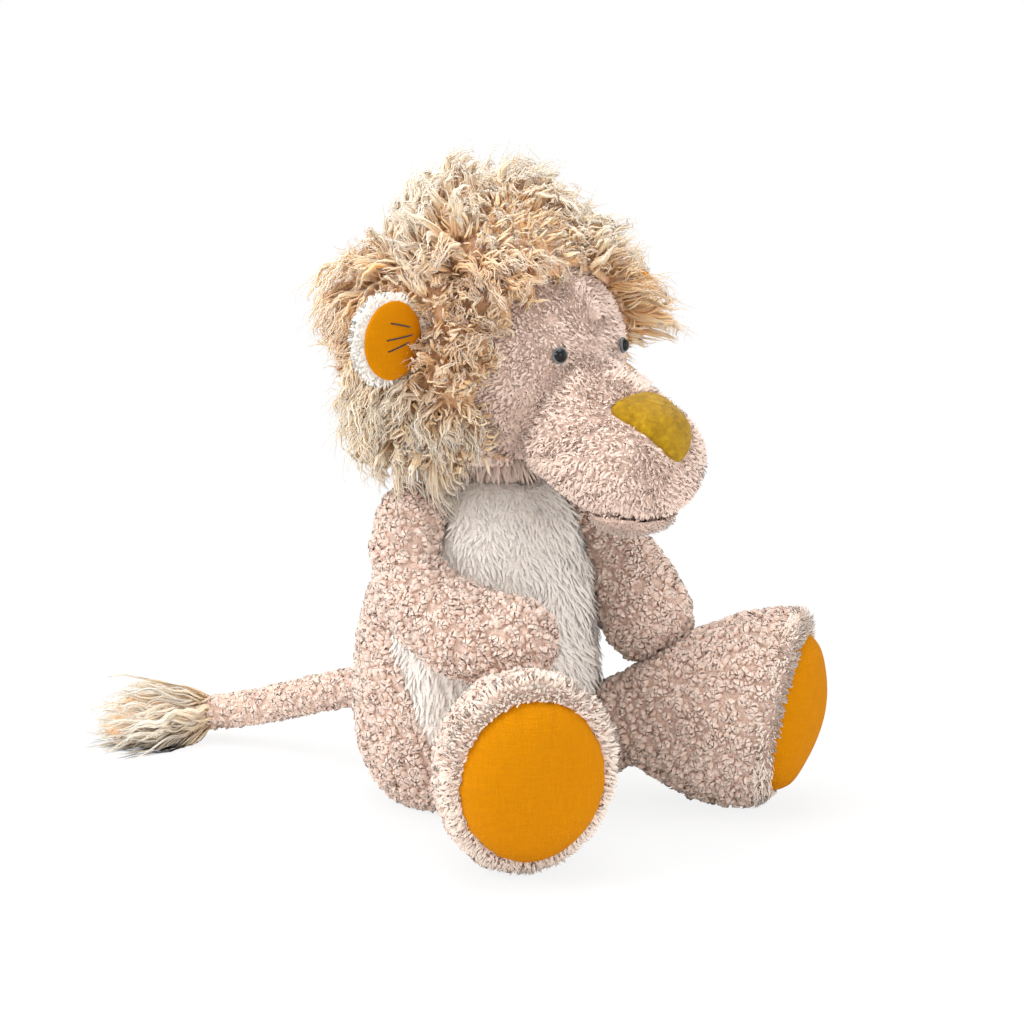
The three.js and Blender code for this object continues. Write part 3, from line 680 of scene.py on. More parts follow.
def pulled(paths, heads, pull, power):
    """Draws the outer end of each path towards its head."""
    t = np.linspace(0, 1, paths.shape[1])[None, :, None] ** power
    return paths + (heads - paths[:, -1])[:, None] * t * pull


def gathered(paths, spots, centres, pull, height):
    """Pulls the outer ends of paths towards a point above the nearest of the clumps' centres."""
    nearest = nearest_of(spots, centres[0])
    return pulled(paths, centres[0][nearest] + centres[1][nearest] * height, pull, 1.5)


def bunched(paths, centres, pull):
    """Draws the outer ends of paths together, towards the middle of all the ends of their clump."""
    nearest = nearest_of(paths[:, 0], centres)
    total = np.zeros((len(centres), 3))
    np.add.at(total, nearest, paths[:, -1])
    heads = total / np.maximum(np.bincount(nearest, minlength=len(centres)), 1)[:, None]
    return pulled(paths, heads[nearest], pull, 1.3)


def tubes(name, paths, wide, thin, aside, shade, spread=0.03, sides=3, facing=None, soft=0.5):
    """One mesh of closed tapering tubes along paths. Its map holds each strand's shade and the way along it.

    Where a facing is given, the normals turn towards it by the share soft, as in pile seen as a whole.
    """
    count, stations, _ = paths.shape
    rows = stations - 1
    way = unit(np.gradient(paths, axis=1))[:, :-1]
    side = unit(np.cross(way, aside[:, None] if aside.ndim == 2 else aside[:, :-1]))
    rise = np.cross(side, way)
    turn = 2 * math.pi * np.arange(sides) / sides + 0.4
    cos, sin = np.cos(turn)[None, None, :, None], np.sin(turn)[None, None, :, None]
    rings = paths[:, :-1, None] + side[:, :, None] * wide[:, :-1, None, None] * cos
    rings = rings + rise[:, :, None] * thin[:, :-1, None, None] * sin
    points = np.concatenate([rings.reshape(count, rows * sides, 3), paths[:, -1:]], axis=1)
    points[..., 2] = np.maximum(points[..., 2], FLOOR_CLEAR)
    per = rows * sides + 1
    across = shade[:, None, None] + spread * np.cos(turn)[None, None] / 2 + np.zeros((1, rows, 1))
    along = np.broadcast_to((np.arange(rows) / rows)[None, :, None], (count, rows, sides))
    uv = np.stack([across, along], -1).reshape(count, rows * sides, 2)
    tip = np.stack([shade, np.ones(count)], -1)[:, None]
    uv = np.clip(np.concatenate([uv, tip], axis=1), 0.01, 0.99)
    ring = np.arange(sides)
    after = (ring + 1) % sides
    low = (np.arange(rows - 1) * sides)[:, None]
    quads = np.stack([low + ring, low + sides + ring, low + sides + after, low + after], -1).reshape(-1, 4)
    top = (rows - 1) * sides
    tips = np.stack([top + ring, np.full(sides, per - 1), top + after], 1)
    offsets = (np.arange(count) * per)[:, None, None]
    corners = [(quads[None] + offsets).reshape(-1), (tips[None] + offsets).reshape(-1),
               (ring[None, None] + offsets).reshape(-1)]
    sizes = [np.full(count * len(quads), 4), np.full(count * sides, 3), np.full(count, sides)]
    corners, sizes = np.concatenate(corners).astype(np.int32), np.concatenate(sizes)
    mesh = bpy.data.meshes.new(name)
    mesh.vertices.add(count * per)
    mesh.vertices.foreach_set("co", points.reshape(-1).astype(np.float32))
    mesh.loops.add(len(corners))
    mesh.loops.foreach_set("vertex_index", corners)
    mesh.polygons.add(len(sizes))
    mesh.polygons.foreach_set("loop_start", (np.cumsum(sizes) - sizes).astype(np.int32))
    mesh.update(calc_edges=True)
    layer = mesh.uv_layers.new(name=PILE_MAP)
    layer.data.foreach_set("uv", uv.reshape(-1, 2)[corners].reshape(-1).astype(np.float32))
    mesh.polygons.foreach_set("use_smooth", np.ones(len(sizes), bool))
    if facing is not None:
        round_by = side[:, :, None] * thin[:, :-1, None, None] * cos
        round_by = round_by + rise[:, :, None] * wide[:, :-1, None, None] * sin
        outer = facing[:, None, None] if facing.ndim == 2 else facing[:, :-1, None]
        outer = unit(unit(round_by) * (1 - soft) + outer * soft).reshape(count, rows * sides, 3)
        ends = facing[:, None] if facing.ndim == 2 else facing[:, -1:]
        normals = mesh.attributes.new("custom_normal", "FLOAT_VECTOR", "POINT")
        outer = np.concatenate([outer, ends], axis=1)
        normals.data.foreach_set("vector", outer.reshape(-1).astype(np.float32))
    mesh.update()
    return new_piece(name, mesh)


def tapered(count, stations, thickness, rng, full=0.5, tip=0.25):
    """Half widths along each strand: fullest part way up, and finer at its end."""
    t = np.linspace(0, 1, stations)[None, :]
    shape = 0.72 + 0.28 * np.sin(math.pi * np.minimum(t / (2 * full), 1))
    shape = shape * (1 - (1 - tip) * np.clip((t - full) / (1 - full), 0, 1) ** 1.5)
    return shape * thickness * rng.uniform(0.75, 1.25, (count, 1))


def drift(spots, reach, rng):
    """A smooth random direction for each point, alike for points nearer than reach to each other."""
    field = np.zeros_like(spots)
    for _ in range(9):
        way = unit(rng.normal(size=3)) * 2 * math.pi / (reach * rng.uniform(1.2, 3.0))
        field += rng.normal(size=3) * np.sin(spots @ way + rng.uniform(0, 2 * math.pi))[:, None]
    return field / 3


def curls(skin, sizes, rng, near, keep=None, height=1.0):
    """Curly plush: petals that wind up round the middle of each soft knot, with facings and shades."""
    spots, ups = sown(skin, sizes.curl_spacing, rng, keep)
    clear = clear_of(spots, ups, near) & ~((spots[:, 2] < 4 * MM) & (ups[:, 2] < -0.8))
    spots, ups = spots[clear], ups[clear]
    count = len(spots)
    lay = laid(ups, drift(spots, 14 * MM, rng) - UP * 0.4, rng, 0.6)
    aside = np.cross(ups, lay)
    size = rng.uniform(0.8, 1.2, (count, 1))
    start = rng.uniform(0, 2 * math.pi, (count, 1))
    twist = rng.choice([-1, 1], (count, 1)) * rng.uniform(0.6, 2.0, (count, 1))
    lean = rng.uniform(0.2, 1.6, (count, 1)) * MM
    t = np.linspace(0, 1, CURL_STATIONS)[None, :]
    paths, faces, outer = [], [], []
    for i in range(CURL_PETALS):
        angle = start + 2 * math.pi * i / CURL_PETALS + rng.uniform(-0.4, 0.4, (count, 1)) + twist * t
        wide = np.sin(math.pi * (0.14 + 0.8 * t)) * sizes.curl_width * size
        wide = wide * rng.uniform(0.8, 1.2, (count, 1))
        rise = np.sin(math.pi / 2 * t) * sizes.curl_height * height * size
        rise = rise * rng.uniform(0.8, 1.2, (count, 1))
        ring = lay[:, None] * np.cos(angle)[..., None] + aside[:, None] * np.sin(angle)[..., None]
        path = spots[:, None] + ups[:, None] * (rise - ROOT_DEPTH)[..., None] + ring * wide[..., None]
        paths.append(path + lay[:, None] * (lean * t**2)[..., None])
        faces.append(ring + ups[:, None] * 0.4)
        outer.append(unit(ups[:, None] * 0.8 + ring * 0.4))
    tone = np.clip(0.5 + 0.2 * drift(spots, 8 * MM, rng)[:, 0] + rng.normal(0, 0.12, count), 0.1, 0.9)
    tones = np.tile(tone, CURL_PETALS) + rng.normal(0, 0.06, count * CURL_PETALS)
    return np.concatenate(paths), np.concatenate(faces), np.clip(tones, 0.06, 0.94), np.concatenate(outer)


def curled(name, skin, sizes, seed, near, body, keep=None, height=1.0, parts=1):
    """Makes the pieces of one body's curly plush, in some parts from right to left."""
    rng = np.random.default_rng(seed)
    paths, faces, tones, outer = curls(skin, sizes, rng, near, keep, height)
    order = np.argsort(paths[:, 0, 0])
    for i, part in enumerate(np.array_split(order, parts)):
        thick = tapered(len(part), CURL_STATIONS, 1.5 * MM, rng, full=0.5, tip=0.6)
        label = name if parts == 1 else f"{name}_{i + 1}"
        piece = tubes(label, paths[part], thick, thick * 0.4, faces[part], tones[part], spread=0.06,
                      facing=outer[part], soft=0.45)
        finished(piece, body, "taupe_boucle", "body_curls")


def nap(name, finish, skin, rng, spacing, length, thickness, towards, spread=0.5, keep=None, near=(),
        lean=(0.25, 1.2), clump=2.2, pull=0.35, sway=0.35, stations=4, swirl=0.0, flat=0.5, tone=None,
        soft=0.55, sunk=ROOT_DEPTH):
    """Makes a piece of straighter pile, combed one way and gathered into small clumps."""
    spots, ups = sown(skin, spacing, rng, keep)
    clear = clear_of(spots, ups, near)
    spots, ups = spots[clear], ups[clear]
    centres = sown(skin, clump * spacing, rng)
    ways = towards(spots, ups) if callable(towards) else np.broadcast_to(towards, ups.shape)
    ways = unit(ways) + drift(spots, 9 * MM, rng) * swirl
    lay = laid(ups, ways, rng, spread)
    long = length(spots, ups) if callable(length) else np.full(len(spots), length)
    long = long * rng.uniform(0.7, 1.2, len(spots))
    paths = grown(spots, ups, lay, long, rng, stations, lean=lean, sway=sway, sunk=sunk)
    paths = gathered(paths, spots, centres, pull, long.mean() * 0.6)
    thick = tapered(len(spots), stations, thickness, rng)
    shade = rng.uniform(0.04, 0.96, len(spots))
    if tone:
        shade = shade * tone(spots)
    finished(tubes(name, paths, thick, thick * flat, ups, shade, facing=ups, soft=soft), *finish)


# Sleek pile that lies on the cloth, and the short standing pile of the head
SLEEK = {"spread": 0.3, "pull": 0.05, "sway": 0.1, "swirl": 0.3, "soft": 0.85}
FACIAL = {"swirl": 0.9, "sway": 0.4, "flat": 0.3}
FACE_NAP = ("head", "taupe_boucle", "face_nap")


# Operators

# Where the camera looks, its turn, its rise and its distance in metres, and the photo in its pixels
TARGET = Vector((0, 0, 0.15))
CAMERA_TURN, CAMERA_RISE, CAMERA_REACH = math.radians(-45), math.radians(11.5), 1.9
PHOTO_WIDTH = 1024
FOCAL_LENGTH = 3800
SHIFT = (34, -8)
SENSOR = 36
# Each lamp's place, size and power
LAMPS = {
    "key_lamp": ((-1.7, 0.8, 1.3), 1.2, 26),
    "front_lamp": ((-0.9, -2.0, 0.9), 1.4, 9),
    "top_lamp": ((-0.1, 0.1, 2.2), 1.6, 31),
    "side_lamp": ((1.3, -1.9, 0.7), 1.4, 6.5),
}


class LION_OT_stage(bpy.types.Operator):
    """Sets the pale floor, the soft lights and the camera."""

    bl_idname = "lion.stage"
    bl_label = "Stage"

    def execute(self, context):
        level = Vector((math.sin(CAMERA_TURN), -math.cos(CAMERA_TURN), 0)) * math.cos(CAMERA_RISE)
        back = level + Vector((0, 0, math.sin(CAMERA_RISE)))
        data = bpy.data.cameras.new("photo_camera")
        data.sensor_width = SENSOR
        data.lens = SENSOR * FOCAL_LENGTH / PHOTO_WIDTH
        data.shift_x, data.shift_y = (pixels / PHOTO_WIDTH for pixels in SHIFT)
        data.clip_end = 20
        camera = new_piece("photo_camera", data)
        camera.location = TARGET + back * CAMERA_REACH
        camera.rotation_euler = back.to_track_quat("Z", "Y").to_euler()
        context.scene.camera = camera
        bpy.ops.object.select_all(action="DESELECT")
        bpy.ops.mesh.primitive_plane_add(size=12)
        floor = context.object
        floor.name = "studio_floor"
        floor.data.materials.append(studio_floor_material())
        context.scene.world = studio_world()
        context.scene.view_settings.view_transform = "Standard"
        for name, (place, size, power) in LAMPS.items():
            lamp = bpy.data.lights.new(name, "AREA")
            lamp.size, lamp.energy = size, power
            piece = new_piece(name, lamp)
            piece.location = place
            piece.rotation_euler = (Vector(place) - TARGET).to_track_quat("Z", "Y").to_euler()
        return {"FINISHED"}


class LION_OT_forms(bpy.types.Operator):
    """Makes the smooth stuffed forms that the plush covers."""

    bl_idname = "lion.forms"
    bl_label = "Stuffed forms"

    def execute(self, context):
        stuffed("torso_form", ["torso_back", "belly_panel", "torso_stuffing", "pellet_bag"], voxel=3 * MM)
        self.creased(stuffed("head_form", ["face_panel", "muzzle_cover", "head_stuffing"], rounds=8))
        stuffed("tail_form", ["tail_cover", "tail_stuffing"], voxel=1.6 * MM)
        for side in SIDES:
            stuffed(f"arm_form_{side}", [f"arm_cover_{side}", f"arm_stuffing_{side}"])
            stuffed(f"leg_form_{side}", [f"leg_cover_{side}", f"leg_stuffing_{side}"])
        return {"FINISHED"}

    @staticmethod
    def creased(head):
        """Draws the seam between the face and the muzzle in, and lets the muzzle swell behind it."""
        skin = FORMS[head.name]
        far = distances(skin.spots, ["face_panel", "muzzle_cover"])
        past = (far[:, 0] - far[:, 1]) / MM
        seam = np.exp(-((past / 5) ** 2)) * (far.max(1) < 9 * MM)
        swell = np.exp(-(((past - 12) / 7) ** 2)) * (skin.ups[:, 2] < 0.75)
        moved(head, skin.spots + skin.ups * ((swell * 3.2 - seam * 1.2) * MM)[:, None])
        modified(head, "SMOOTH", factor=0.5, iterations=2)
        FORMS[head.name] = Skin(head)


class LION_OT_torso(bpy.types.Operator):
    """Covers the back in curly plush and the belly in smooth cream plush."""

    bl_idname = "lion.torso"
    bl_label = "Torso"

    def execute(self, context):
        sizes = context.scene.lion_sizes
        form, skin = bpy.data.objects["torso_form"], FORMS["torso_form"]
        back, belly = (belonging(["torso_back", "belly_panel"], index) for index in (0, 1))
        near = [f"{limb}_form_{side}" for limb in ("arm", "leg") for side in SIDES]
        for name, keep, node, *finish in (
            ("torso_back_cover", back, "torso_back", "taupe_boucle", "plush_ground"),
            ("belly_cover", belly, "belly_panel", "cream_plush", "cream_ground"),
        ):
            finished(cut_out(form, name, keep), "torso", *finish, nodes=[node], fill=0.8)
        curled("torso_back_curls", skin, sizes, 11, near, "torso", back, parts=2)
        nap("belly_pile", ("torso", "cream_plush", "belly_nap"), skin, np.random.default_rng(12), 2.3 * MM,
            sizes.belly_length, 0.8 * MM, -UP, keep=belly, near=near, lean=(1.3, 1.5), clump=2.6, flat=0.22,
            sunk=0.45 * MM, **SLEEK)
        discard(form)
        return {"FINISHED"}


def facial_lay(spots, ups):
    """The way the face's pile is combed: back from the nose, and down the cheeks."""
    x, _, z = spots.T
    across = 9 * x + np.sign(x) * np.cos(22 * (z - 0.2)) * 0.4
    return np.stack([across, np.full_like(x, 0.55), np.full_like(x, -0.8)], 1)


class LION_OT_neck(bpy.types.Operator):
    """Covers the ball of the neck where it shows under the head."""

    bl_idname = "lion.neck"
    bl_label = "Neck"

    def execute(self, context):
        cover = stuffed("neck_cover", ["neck_stuffing"], voxel=1.6 * MM, inset=0.6 * MM, rounds=4)
        finished(cover, "neck", "polyester_filling", "plush_ground", nodes=["neck_stuffing"], fill=0.9)
        nap("neck_pile", ("neck", "taupe_boucle", "face_nap"), FORMS["neck_cover"], np.random.default_rng(15),
            1.9 * MM, 11 * MM, 0.8 * MM, -UP, keep=lambda spots: abs(spots[:, 2] - 172 * MM) < 12 * MM,
            lean=(1.1, 1.5), flat=0.25, sunk=0.3 * MM, **SLEEK)
        return {"FINISHED"}


class LION_OT_head(bpy.types.Operator):
    """Covers the face, the muzzle and the lower lip in short pile."""

    bl_idname = "lion.head"
    bl_label = "Head"

    def execute(self, context):
        sizes = context.scene.lion_sizes
        form, skin = bpy.data.objects["head_form"], FORMS["head_form"]
        rng = np.random.default_rng(21)
        seats = [seat for seat, _ in eye_places().values()]

        def off_seam(spots):
            far = distances(spots, ["face_panel", "muzzle_cover"])
            return 1 - np.exp(-(((far[:, 0] - far[:, 1]) / (4.5 * MM)) ** 2)) * (far.max(1) < 9 * MM)

        def reach(spots, ups):
            under = np.clip(-(ups[:, 2] + 0.25) / 0.6, 0, 1)
            return sizes.nap_length * (1 - 0.6 * under) * (0.5 + 0.5 * off_seam(spots))

        parts = (("face_cover", "face_panel", "face_pile", (0.7, 1.42), 2.2, 0.5),
                 ("muzzle_form", "muzzle_cover", "muzzle_pile", (0.55, 1.4), 2.4, 0.6))
        tests = [belonging(["face_panel", "muzzle_cover", "head_stuffing"], index) for index in (0, 1)]
        for (cloth, node, *_), belongs in zip(parts, tests):
            cover = cut_out(form, cloth, belongs)
            finished(cover, "head", "taupe_boucle", "plush_ground", nodes=[node], fill=0.8)
        for (_, _, name, lean, clump, pull), belongs in zip(parts, tests):

            def open_cloth(spots, belongs=belongs):
                off_eyes = [np.linalg.norm(spots - seat, axis=1) > 4.6 * MM for seat in seats]
                return np.all([belongs(spots), ~under_nose(spots), *off_eyes], axis=0)

            nap(name, FACE_NAP, skin, rng, 1.7 * MM, reach, 0.8 * MM, facial_lay, keep=open_cloth, lean=lean,
                clump=clump, pull=pull, tone=lambda spots: 0.15 + 0.85 * off_seam(spots), **FACIAL)
        chin = stuffed("lip_cover", ["chin"], voxel=1.5 * MM, inset=1.0 * MM, rounds=5)
        finished(chin, "head", "taupe_boucle", "plush_ground", nodes=["chin"], fill=0.6)
        nap("lip_pile", FACE_NAP, FORMS["lip_cover"], rng, 1.6 * MM, sizes.nap_length * 0.7, 0.5 * MM, AHEAD,
            near=["head_form"], lean=(0.3, 1.3), pull=0.4, swirl=0.4)
        discard(form)
        return {"FINISHED"}


NOSE_TILT = math.radians(46)
NOSE_UP = np.array([0.0, math.sin(NOSE_TILT), math.cos(NOSE_TILT)])
NOSE_OUT = np.array([0.0, -math.cos(NOSE_TILT), math.sin(NOSE_TILT)])
NOSE_PLACE = SKULL + np.array([0.0, -102.0, -27.5]) * MM
NOSE_OUTLINE = np.array([
    (0, 17.6), (12, 17.2), (18.2, 15), (19.6, 11), (18.4, 5), (17, -2), (15.5, -8), (13, -13.5), (9, -17.8),
    (3.5, -20), (-2.5, -18), (-8.3, -13.2), (-13.4, -7.8), (-16.3, -3), (-17.6, 3), (-18.8, 8), (-19.4, 13),
    (-16.5, 16.6), (-9, 17.5),
]) * MM


def nose_reach(turn):
    """How far the nose's outline lies from its middle in each direction."""
    angles = np.arctan2(NOSE_OUTLINE[:, 1], NOSE_OUTLINE[:, 0])
    return np.interp(turn, angles, np.linalg.norm(NOSE_OUTLINE, axis=1), period=2 * math.pi)


def under_nose(spots):
    """True for points of the muzzle that the nose patch covers."""
    ahead = (spots - NOSE_PLACE) @ NOSE_OUT > -14 * MM
    across, rise = spots[:, 0], (spots - NOSE_PLACE) @ NOSE_UP
    return ahead & (np.hypot(across, rise) < 1.04 * nose_reach(np.arctan2(rise, across)))


def eye_places():
    """Each eye's seat on the cloth and the way it looks."""
    spread, rise = 21.5 * MM, 4.5 * MM
    depth = SKULL_HALVES[1] * math.sqrt(1 - (spread / SKULL_HALVES[0]) ** 2 - (rise / SKULL_HALVES[2]) ** 2)
    found = {}
    for name, side in SIDES.items():
        outward = unit(np.array([side * spread, -depth, rise]) / SKULL_HALVES**2)
        found[name] = (SKULL + np.array([side * spread, -depth, rise]) + outward * 1.5 * MM, outward)
    return found


class LION_OT_nose(bpy.types.Operator):
    """Lays the felt nose over the front of the muzzle."""

    bl_idname = "lion.nose"
    bl_label = "Nose"

    def execute(self, context):
        piece = sphere("nose_felt_patch", 96, 48)
        spots = []
        for vertex in piece.data.vertices:
            x, y, z = vertex.co
            flat, turn = math.hypot(x, y), math.atan2(y, x)
            reach = flat * float(nose_reach(turn))
            spot = NOSE_PLACE + np.array([reach * math.cos(turn), 0, 0]) + NOSE_UP * reach * math.sin(turn)
            start = Vector(spot + NOSE_OUT * 30 * MM)
            cloth = np.array(FORMS["head_form"].tree.ray_cast(start, Vector(-NOSE_OUT))[0])
            full = math.sqrt(max(1 - flat**2, 0))
            rise = (0.6 + 3.4 * full**0.6) * MM if z > 0 else -1.2 * MM * full
            spots.append(cloth + NOSE_OUT * rise)
        moved(piece, np.array(spots))
        modified(piece, "SMOOTH", factor=0.5, iterations=3)
        smooth_shaded(piece)
        finished(piece, "head", "nose_felt", "nose_felt", nodes=["nose"])
        nap("nose_fuzz", ("head", "nose_felt", "nose_fuzz"), Skin(piece), np.random.default_rng(31), 2.1 * MM,
            5 * MM, 0.13 * MM, NOSE_UP, spread=math.pi, keep=lambda s: (s - NOSE_PLACE) @ NOSE_OUT > -14 * MM,
            lean=(1.2, 1.62), pull=0.0, sway=0.9)
        return {"FINISHED"}


# In mm
EYE_RADIUS = 4
PUPIL_RADIUS = 3.1
RIM_HEIGHT = 0.9


class LION_OT_eyes(bpy.types.Operator):
    """Sets the glass eyes, each a black dome in a grey rim."""

    bl_idname = "lion.eyes"
    bl_label = "Eyes"

    def execute(self, context):
        for name, (seat, outward) in eye_places().items():
            piece = sphere(f"glass_eye_{name}", 32, 24, EYE_RADIUS * MM)
            for vertex in piece.data.vertices:
                across = math.hypot(vertex.co.x, vertex.co.y) / MM
                if vertex.co.z < 0:
                    vertex.co.z *= 0.35
                elif across < PUPIL_RADIUS:
                    vertex.co.z = (RIM_HEIGHT + 2.1 * math.sqrt(1 - (across / PUPIL_RADIUS) ** 2)) * MM
                else:
                    past = (across - PUPIL_RADIUS) / (EYE_RADIUS - PUPIL_RADIUS)
                    vertex.co.z = RIM_HEIGHT * MM * math.sqrt(max(1 - past**2, 0))
            finished(piece, "head", "eye_glass", "eye_black_glass", "eye_grey_rim", nodes=[f"eye_{name}"])
            for face in piece.data.polygons:
                face.material_index = 0 if face.center.z > (RIM_HEIGHT + 0.05) * MM else 1
            turn = Vector(outward).to_track_quat("Z", "Y").to_matrix().to_4x4()
            piece.data.transform(Matrix.Translation(Vector(seat)) @ turn)
            smooth_shaded(piece)
        return {"FINISHED"}


def has_room(paths):
    """True for strands that stay inside the room that fabric may take round the CAD solids."""
    low, high = np.array(CAD_BOX[0]), np.array(CAD_BOX[1])
    room = (high - low) * 0.03 + 9 * MM
    return ((paths > low - room) & (paths < high + room)).all((1, 2))


def drawn_in(paths, limits):
    """Bends paths so that they stay within each one's share of the mane's soft outline."""
    rays = paths - MANE_MIDDLE
    halves = np.broadcast_to(MANE_HALVES, paths.shape).copy()
    halves[..., 2] = np.where(rays[..., 2] < 0, MANE_FALL, MANE_HALVES[2])
    reach = np.linalg.norm(rays / halves, axis=-1)
    free = limits[:, None] - 0.15
    held = free + 0.15 * (1 - np.exp(-np.maximum(reach - free, 0) / 0.15))
    return MANE_MIDDLE + rays * np.where(reach > free, held / reach, 1)[..., None]


def stopped(paths, blocked):
    """Shortens each path to the part before its first blocked point, and tells which have any length left."""
    count, stations, _ = paths.shape
    first = np.where(blocked.any(1), blocked.argmax(1), stations)
    pick = np.linspace(0, 1, stations)[None, :] * np.maximum(first - 1, 0)[:, None]
    low = np.minimum(pick.astype(int), stations - 2)
    share = (pick - low)[..., None]
    rows = np.arange(count)[:, None]
    return paths[rows, low] * (1 - share) + paths[rows, low + 1] * share, first > 2


def in_room(spots, room):
    """True for points in mm that lie inside a round room, given by its middle and its half widths."""
    middle, halves = np.array(room, float)
    return np.linalg.norm((spots - middle) / halves, axis=-1) < 1


def past_skull(spots):
    """The rays from the skull's middle, in its own half widths, and which points lie clear of it."""
    rays = (spots - SKULL) / SKULL_HALVES
    return rays, np.linalg.norm(rays, axis=1) > 1.03


def share(values, start, end):
    """How far values have come from start to end, from 0 to 1."""
    return np.clip((values - start) / (end - start), 0, 1)


# Rooms kept free of hair, in mm: the front of the near ear, and the lower edge of the far one
NEAR_EAR = ((-95, -30, 245), (18, 16, 24))
FAR_EAR = ((84, -38, 225), (20, 20, 12))
GUIDE_STATIONS = 15
STRAND_COPIES = 3
# Stations, width in mm, flatness, distance from the lock's middle in mm, and waviness
STRANDS = {"mane_locks": (11, 1.3, 0.45, 1.1, 1.0), "mane_strands": (10, 0.45, 0.8, 2.0, 2.0)}
MANE_HAIR = ("head", "mane_mohair", "mane_hair")


class LION_OT_mane(bpy.types.Operator):
    """Grows the mane's wavy locks round the face and down the neck."""

    bl_idname = "lion.mane"
    bl_label = "Mane"

    def execute(self, context):
        sizes = context.scene.lion_sizes
        pad = stuffed("mane_pad", ["mane"], voxel=4 * MM, inset=0.0, rounds=4)
        rays = (FORMS["mane_pad"].spots - SKULL) / SKULL_HALVES
        reach = np.linalg.norm(rays, axis=1, keepdims=True)
        moved(pad, SKULL + rays / reach * (1 + (reach - 1) * 0.55) * SKULL_HALVES)
        skin = FORMS["mane_pad"] = Skin(pad)
        finished(pad, "head", "mane_mohair", "mane_ground", nodes=["mane"])
        rng = np.random.default_rng(41)
        spots, ups = sown(skin, sizes.lock_spacing, rng)
        rays, outside = past_skull(spots)
        rooted = outside & ((unit(rays) * ups).sum(1) > -0.2)
        spots, ups = spots[rooted], ups[rooted]
        clumps = sown(skin, 2.4 * sizes.lock_spacing, rng)[0]
        guides, lay = self.combed(spots, ups, clumps, sizes.lock_length, rng)
        guides, left = self.cleared(guides, rng)
        for _ in range(3):
            bare = np.flatnonzero(~left)
            short = sizes.lock_length * 0.45
            again, lay[bare] = self.combed(spots[bare], ups[bare], clumps, short, rng, spread=math.pi)
            guides[bare], left[bare] = self.cleared(again, rng)
        self.strands(guides[left], ups[left], lay[left], rng)
        nap("mane_undercoat", MANE_HAIR, skin, rng, 3.7 * MM, 18 * MM, 1.0 * MM, self.downwards, swirl=0.8,
            keep=self.hairy, lean=(0.5, 1.35), clump=2.8, pull=0.6, sway=0.6, stations=6, flat=0.45,
            tone=lambda s: np.full(len(s), 0.45), soft=0.3)
        nap("throat_pile", FACE_NAP, skin, rng, 1.7 * MM, 5 * MM, 0.8 * MM, np.array([0.0, 1.0, -0.4]),
            swirl=0.5, flat=0.3,
            keep=lambda s: (s[:, 2] < 194 * MM) & (s[:, 1] < 0) & (abs(s[:, 0]) < 48 * MM))
        return {"FINISHED"}

    @staticmethod
    def hairy(spots):
        """True for the pad's points outside the skull, away from the throat and the far cheek."""
        x, y, z = spots.T / MM
        throat = (y < -20) & (abs(x) < 42) & (z < 194)
        far_cheek = (x - y > 88) & (z < 236)
        return past_skull(spots)[1] & ~throat & ~far_cheek

    @staticmethod
    def downwards(spots, ups):
        """The way the undercoat lies: away from the crown, and forwards round the face."""
        ring = share(-spots[:, 1:2] / MM, 26, 36)
        ways = unit((spots - SKULL) * np.array([1, 0, 1])) + np.array([0, 0.2, -0.8])
        return ways * (1 - ring) + ring * np.array([0, -1.3, -0.4])

    @staticmethod
    def combed(spots, ups, clumps, length, rng, spread=0.35):
        """The line down the middle of each lock, in locks that lie alike with their neighbours."""
        count = len(spots)
        radial = unit((spots - SKULL) * np.array([1, 0, 1]))
        height = (spots[:, 2:] - SKULL[2]) / MM
        x, y = spots[:, :1] / MM, spots[:, 1:2] / MM
        far_side = share(x - y, 62, 74) * (height > -4)
        ring = share(-y, 26, 36) * (1 - far_side)
        top = share(height, 25, 55) * (1 - ring)
        low = share(-height, 5, 30)
        front = share(-y, 10, 30)
        ways = radial * 0.8 + np.array([0, 0.3, -0.7]) + top * np.array([0, -0.35, 1.0])
        ways = ways + low * front * np.array([0, 1.3, -0.8]) - low * (1 - front) * np.array([0, 0, 0.5])
        ways = ways * (1 - 0.6 * ring) + ring * np.array([0, -1.3, -0.5])
        ways = ways + far_side * np.array([0.4, 0, -0.4])
        ways = ways + drift(spots, 20 * MM, rng) * 1.2
        hang = low * (y < 8) * (abs(x) > 26)
        ways = ways * (1 - hang) + hang * np.array([0.1, -0.3, -1.6])
        lay = laid(ups, ways, rng, spread)
        bend = 1.05 - 0.25 * top - 0.5 * far_side + 0.2 * ring
        peaks = drift(spots, 20 * MM, rng)[:, 0] * (1 + 0.4 * top[:, 0])
        long = length * np.clip(1 + 0.35 * peaks, 0.6, 1.7) * rng.uniform(0.75, 1.15, count)
        long = long * (1 - 0.3 * ring[:, 0] + 0.5 * hang[:, 0])
        limits = np.clip(1.04 + 0.15 * peaks + rng.normal(0, 0.03, count), 0.93, 1.3)
        limits = limits + 0.2 * far_side[:, 0]
        guides = grown(spots, ups, lay, long, rng, GUIDE_STATIONS, lean=(0.15, bend), sway=0.35, turns=0.9,
                       fall=0.2, hook=0.5)
        guides = drawn_in(bunched(guides, clumps, 0.6), limits)
        t = np.linspace(0, 1, GUIDE_STATIONS)[None, :]
        aside = np.cross(ups, lay)
        wound = rng.choice([-1, 1], (count, 1)) * rng.uniform(2.4, 4.0, (count, 1))
        angle = rng.uniform(0, 6.3, (count, 1)) + wound * 6.3 * t
        wide = rng.uniform(0.9, 2.0, (count, 1)) * t**0.6 * (1.15 - 0.5 * t) * MM
        guides = guides + aside[:, None] * (np.sin(angle) * wide)[..., None]
        return guides + ups[:, None] * (np.cos(angle) * wide)[..., None], lay

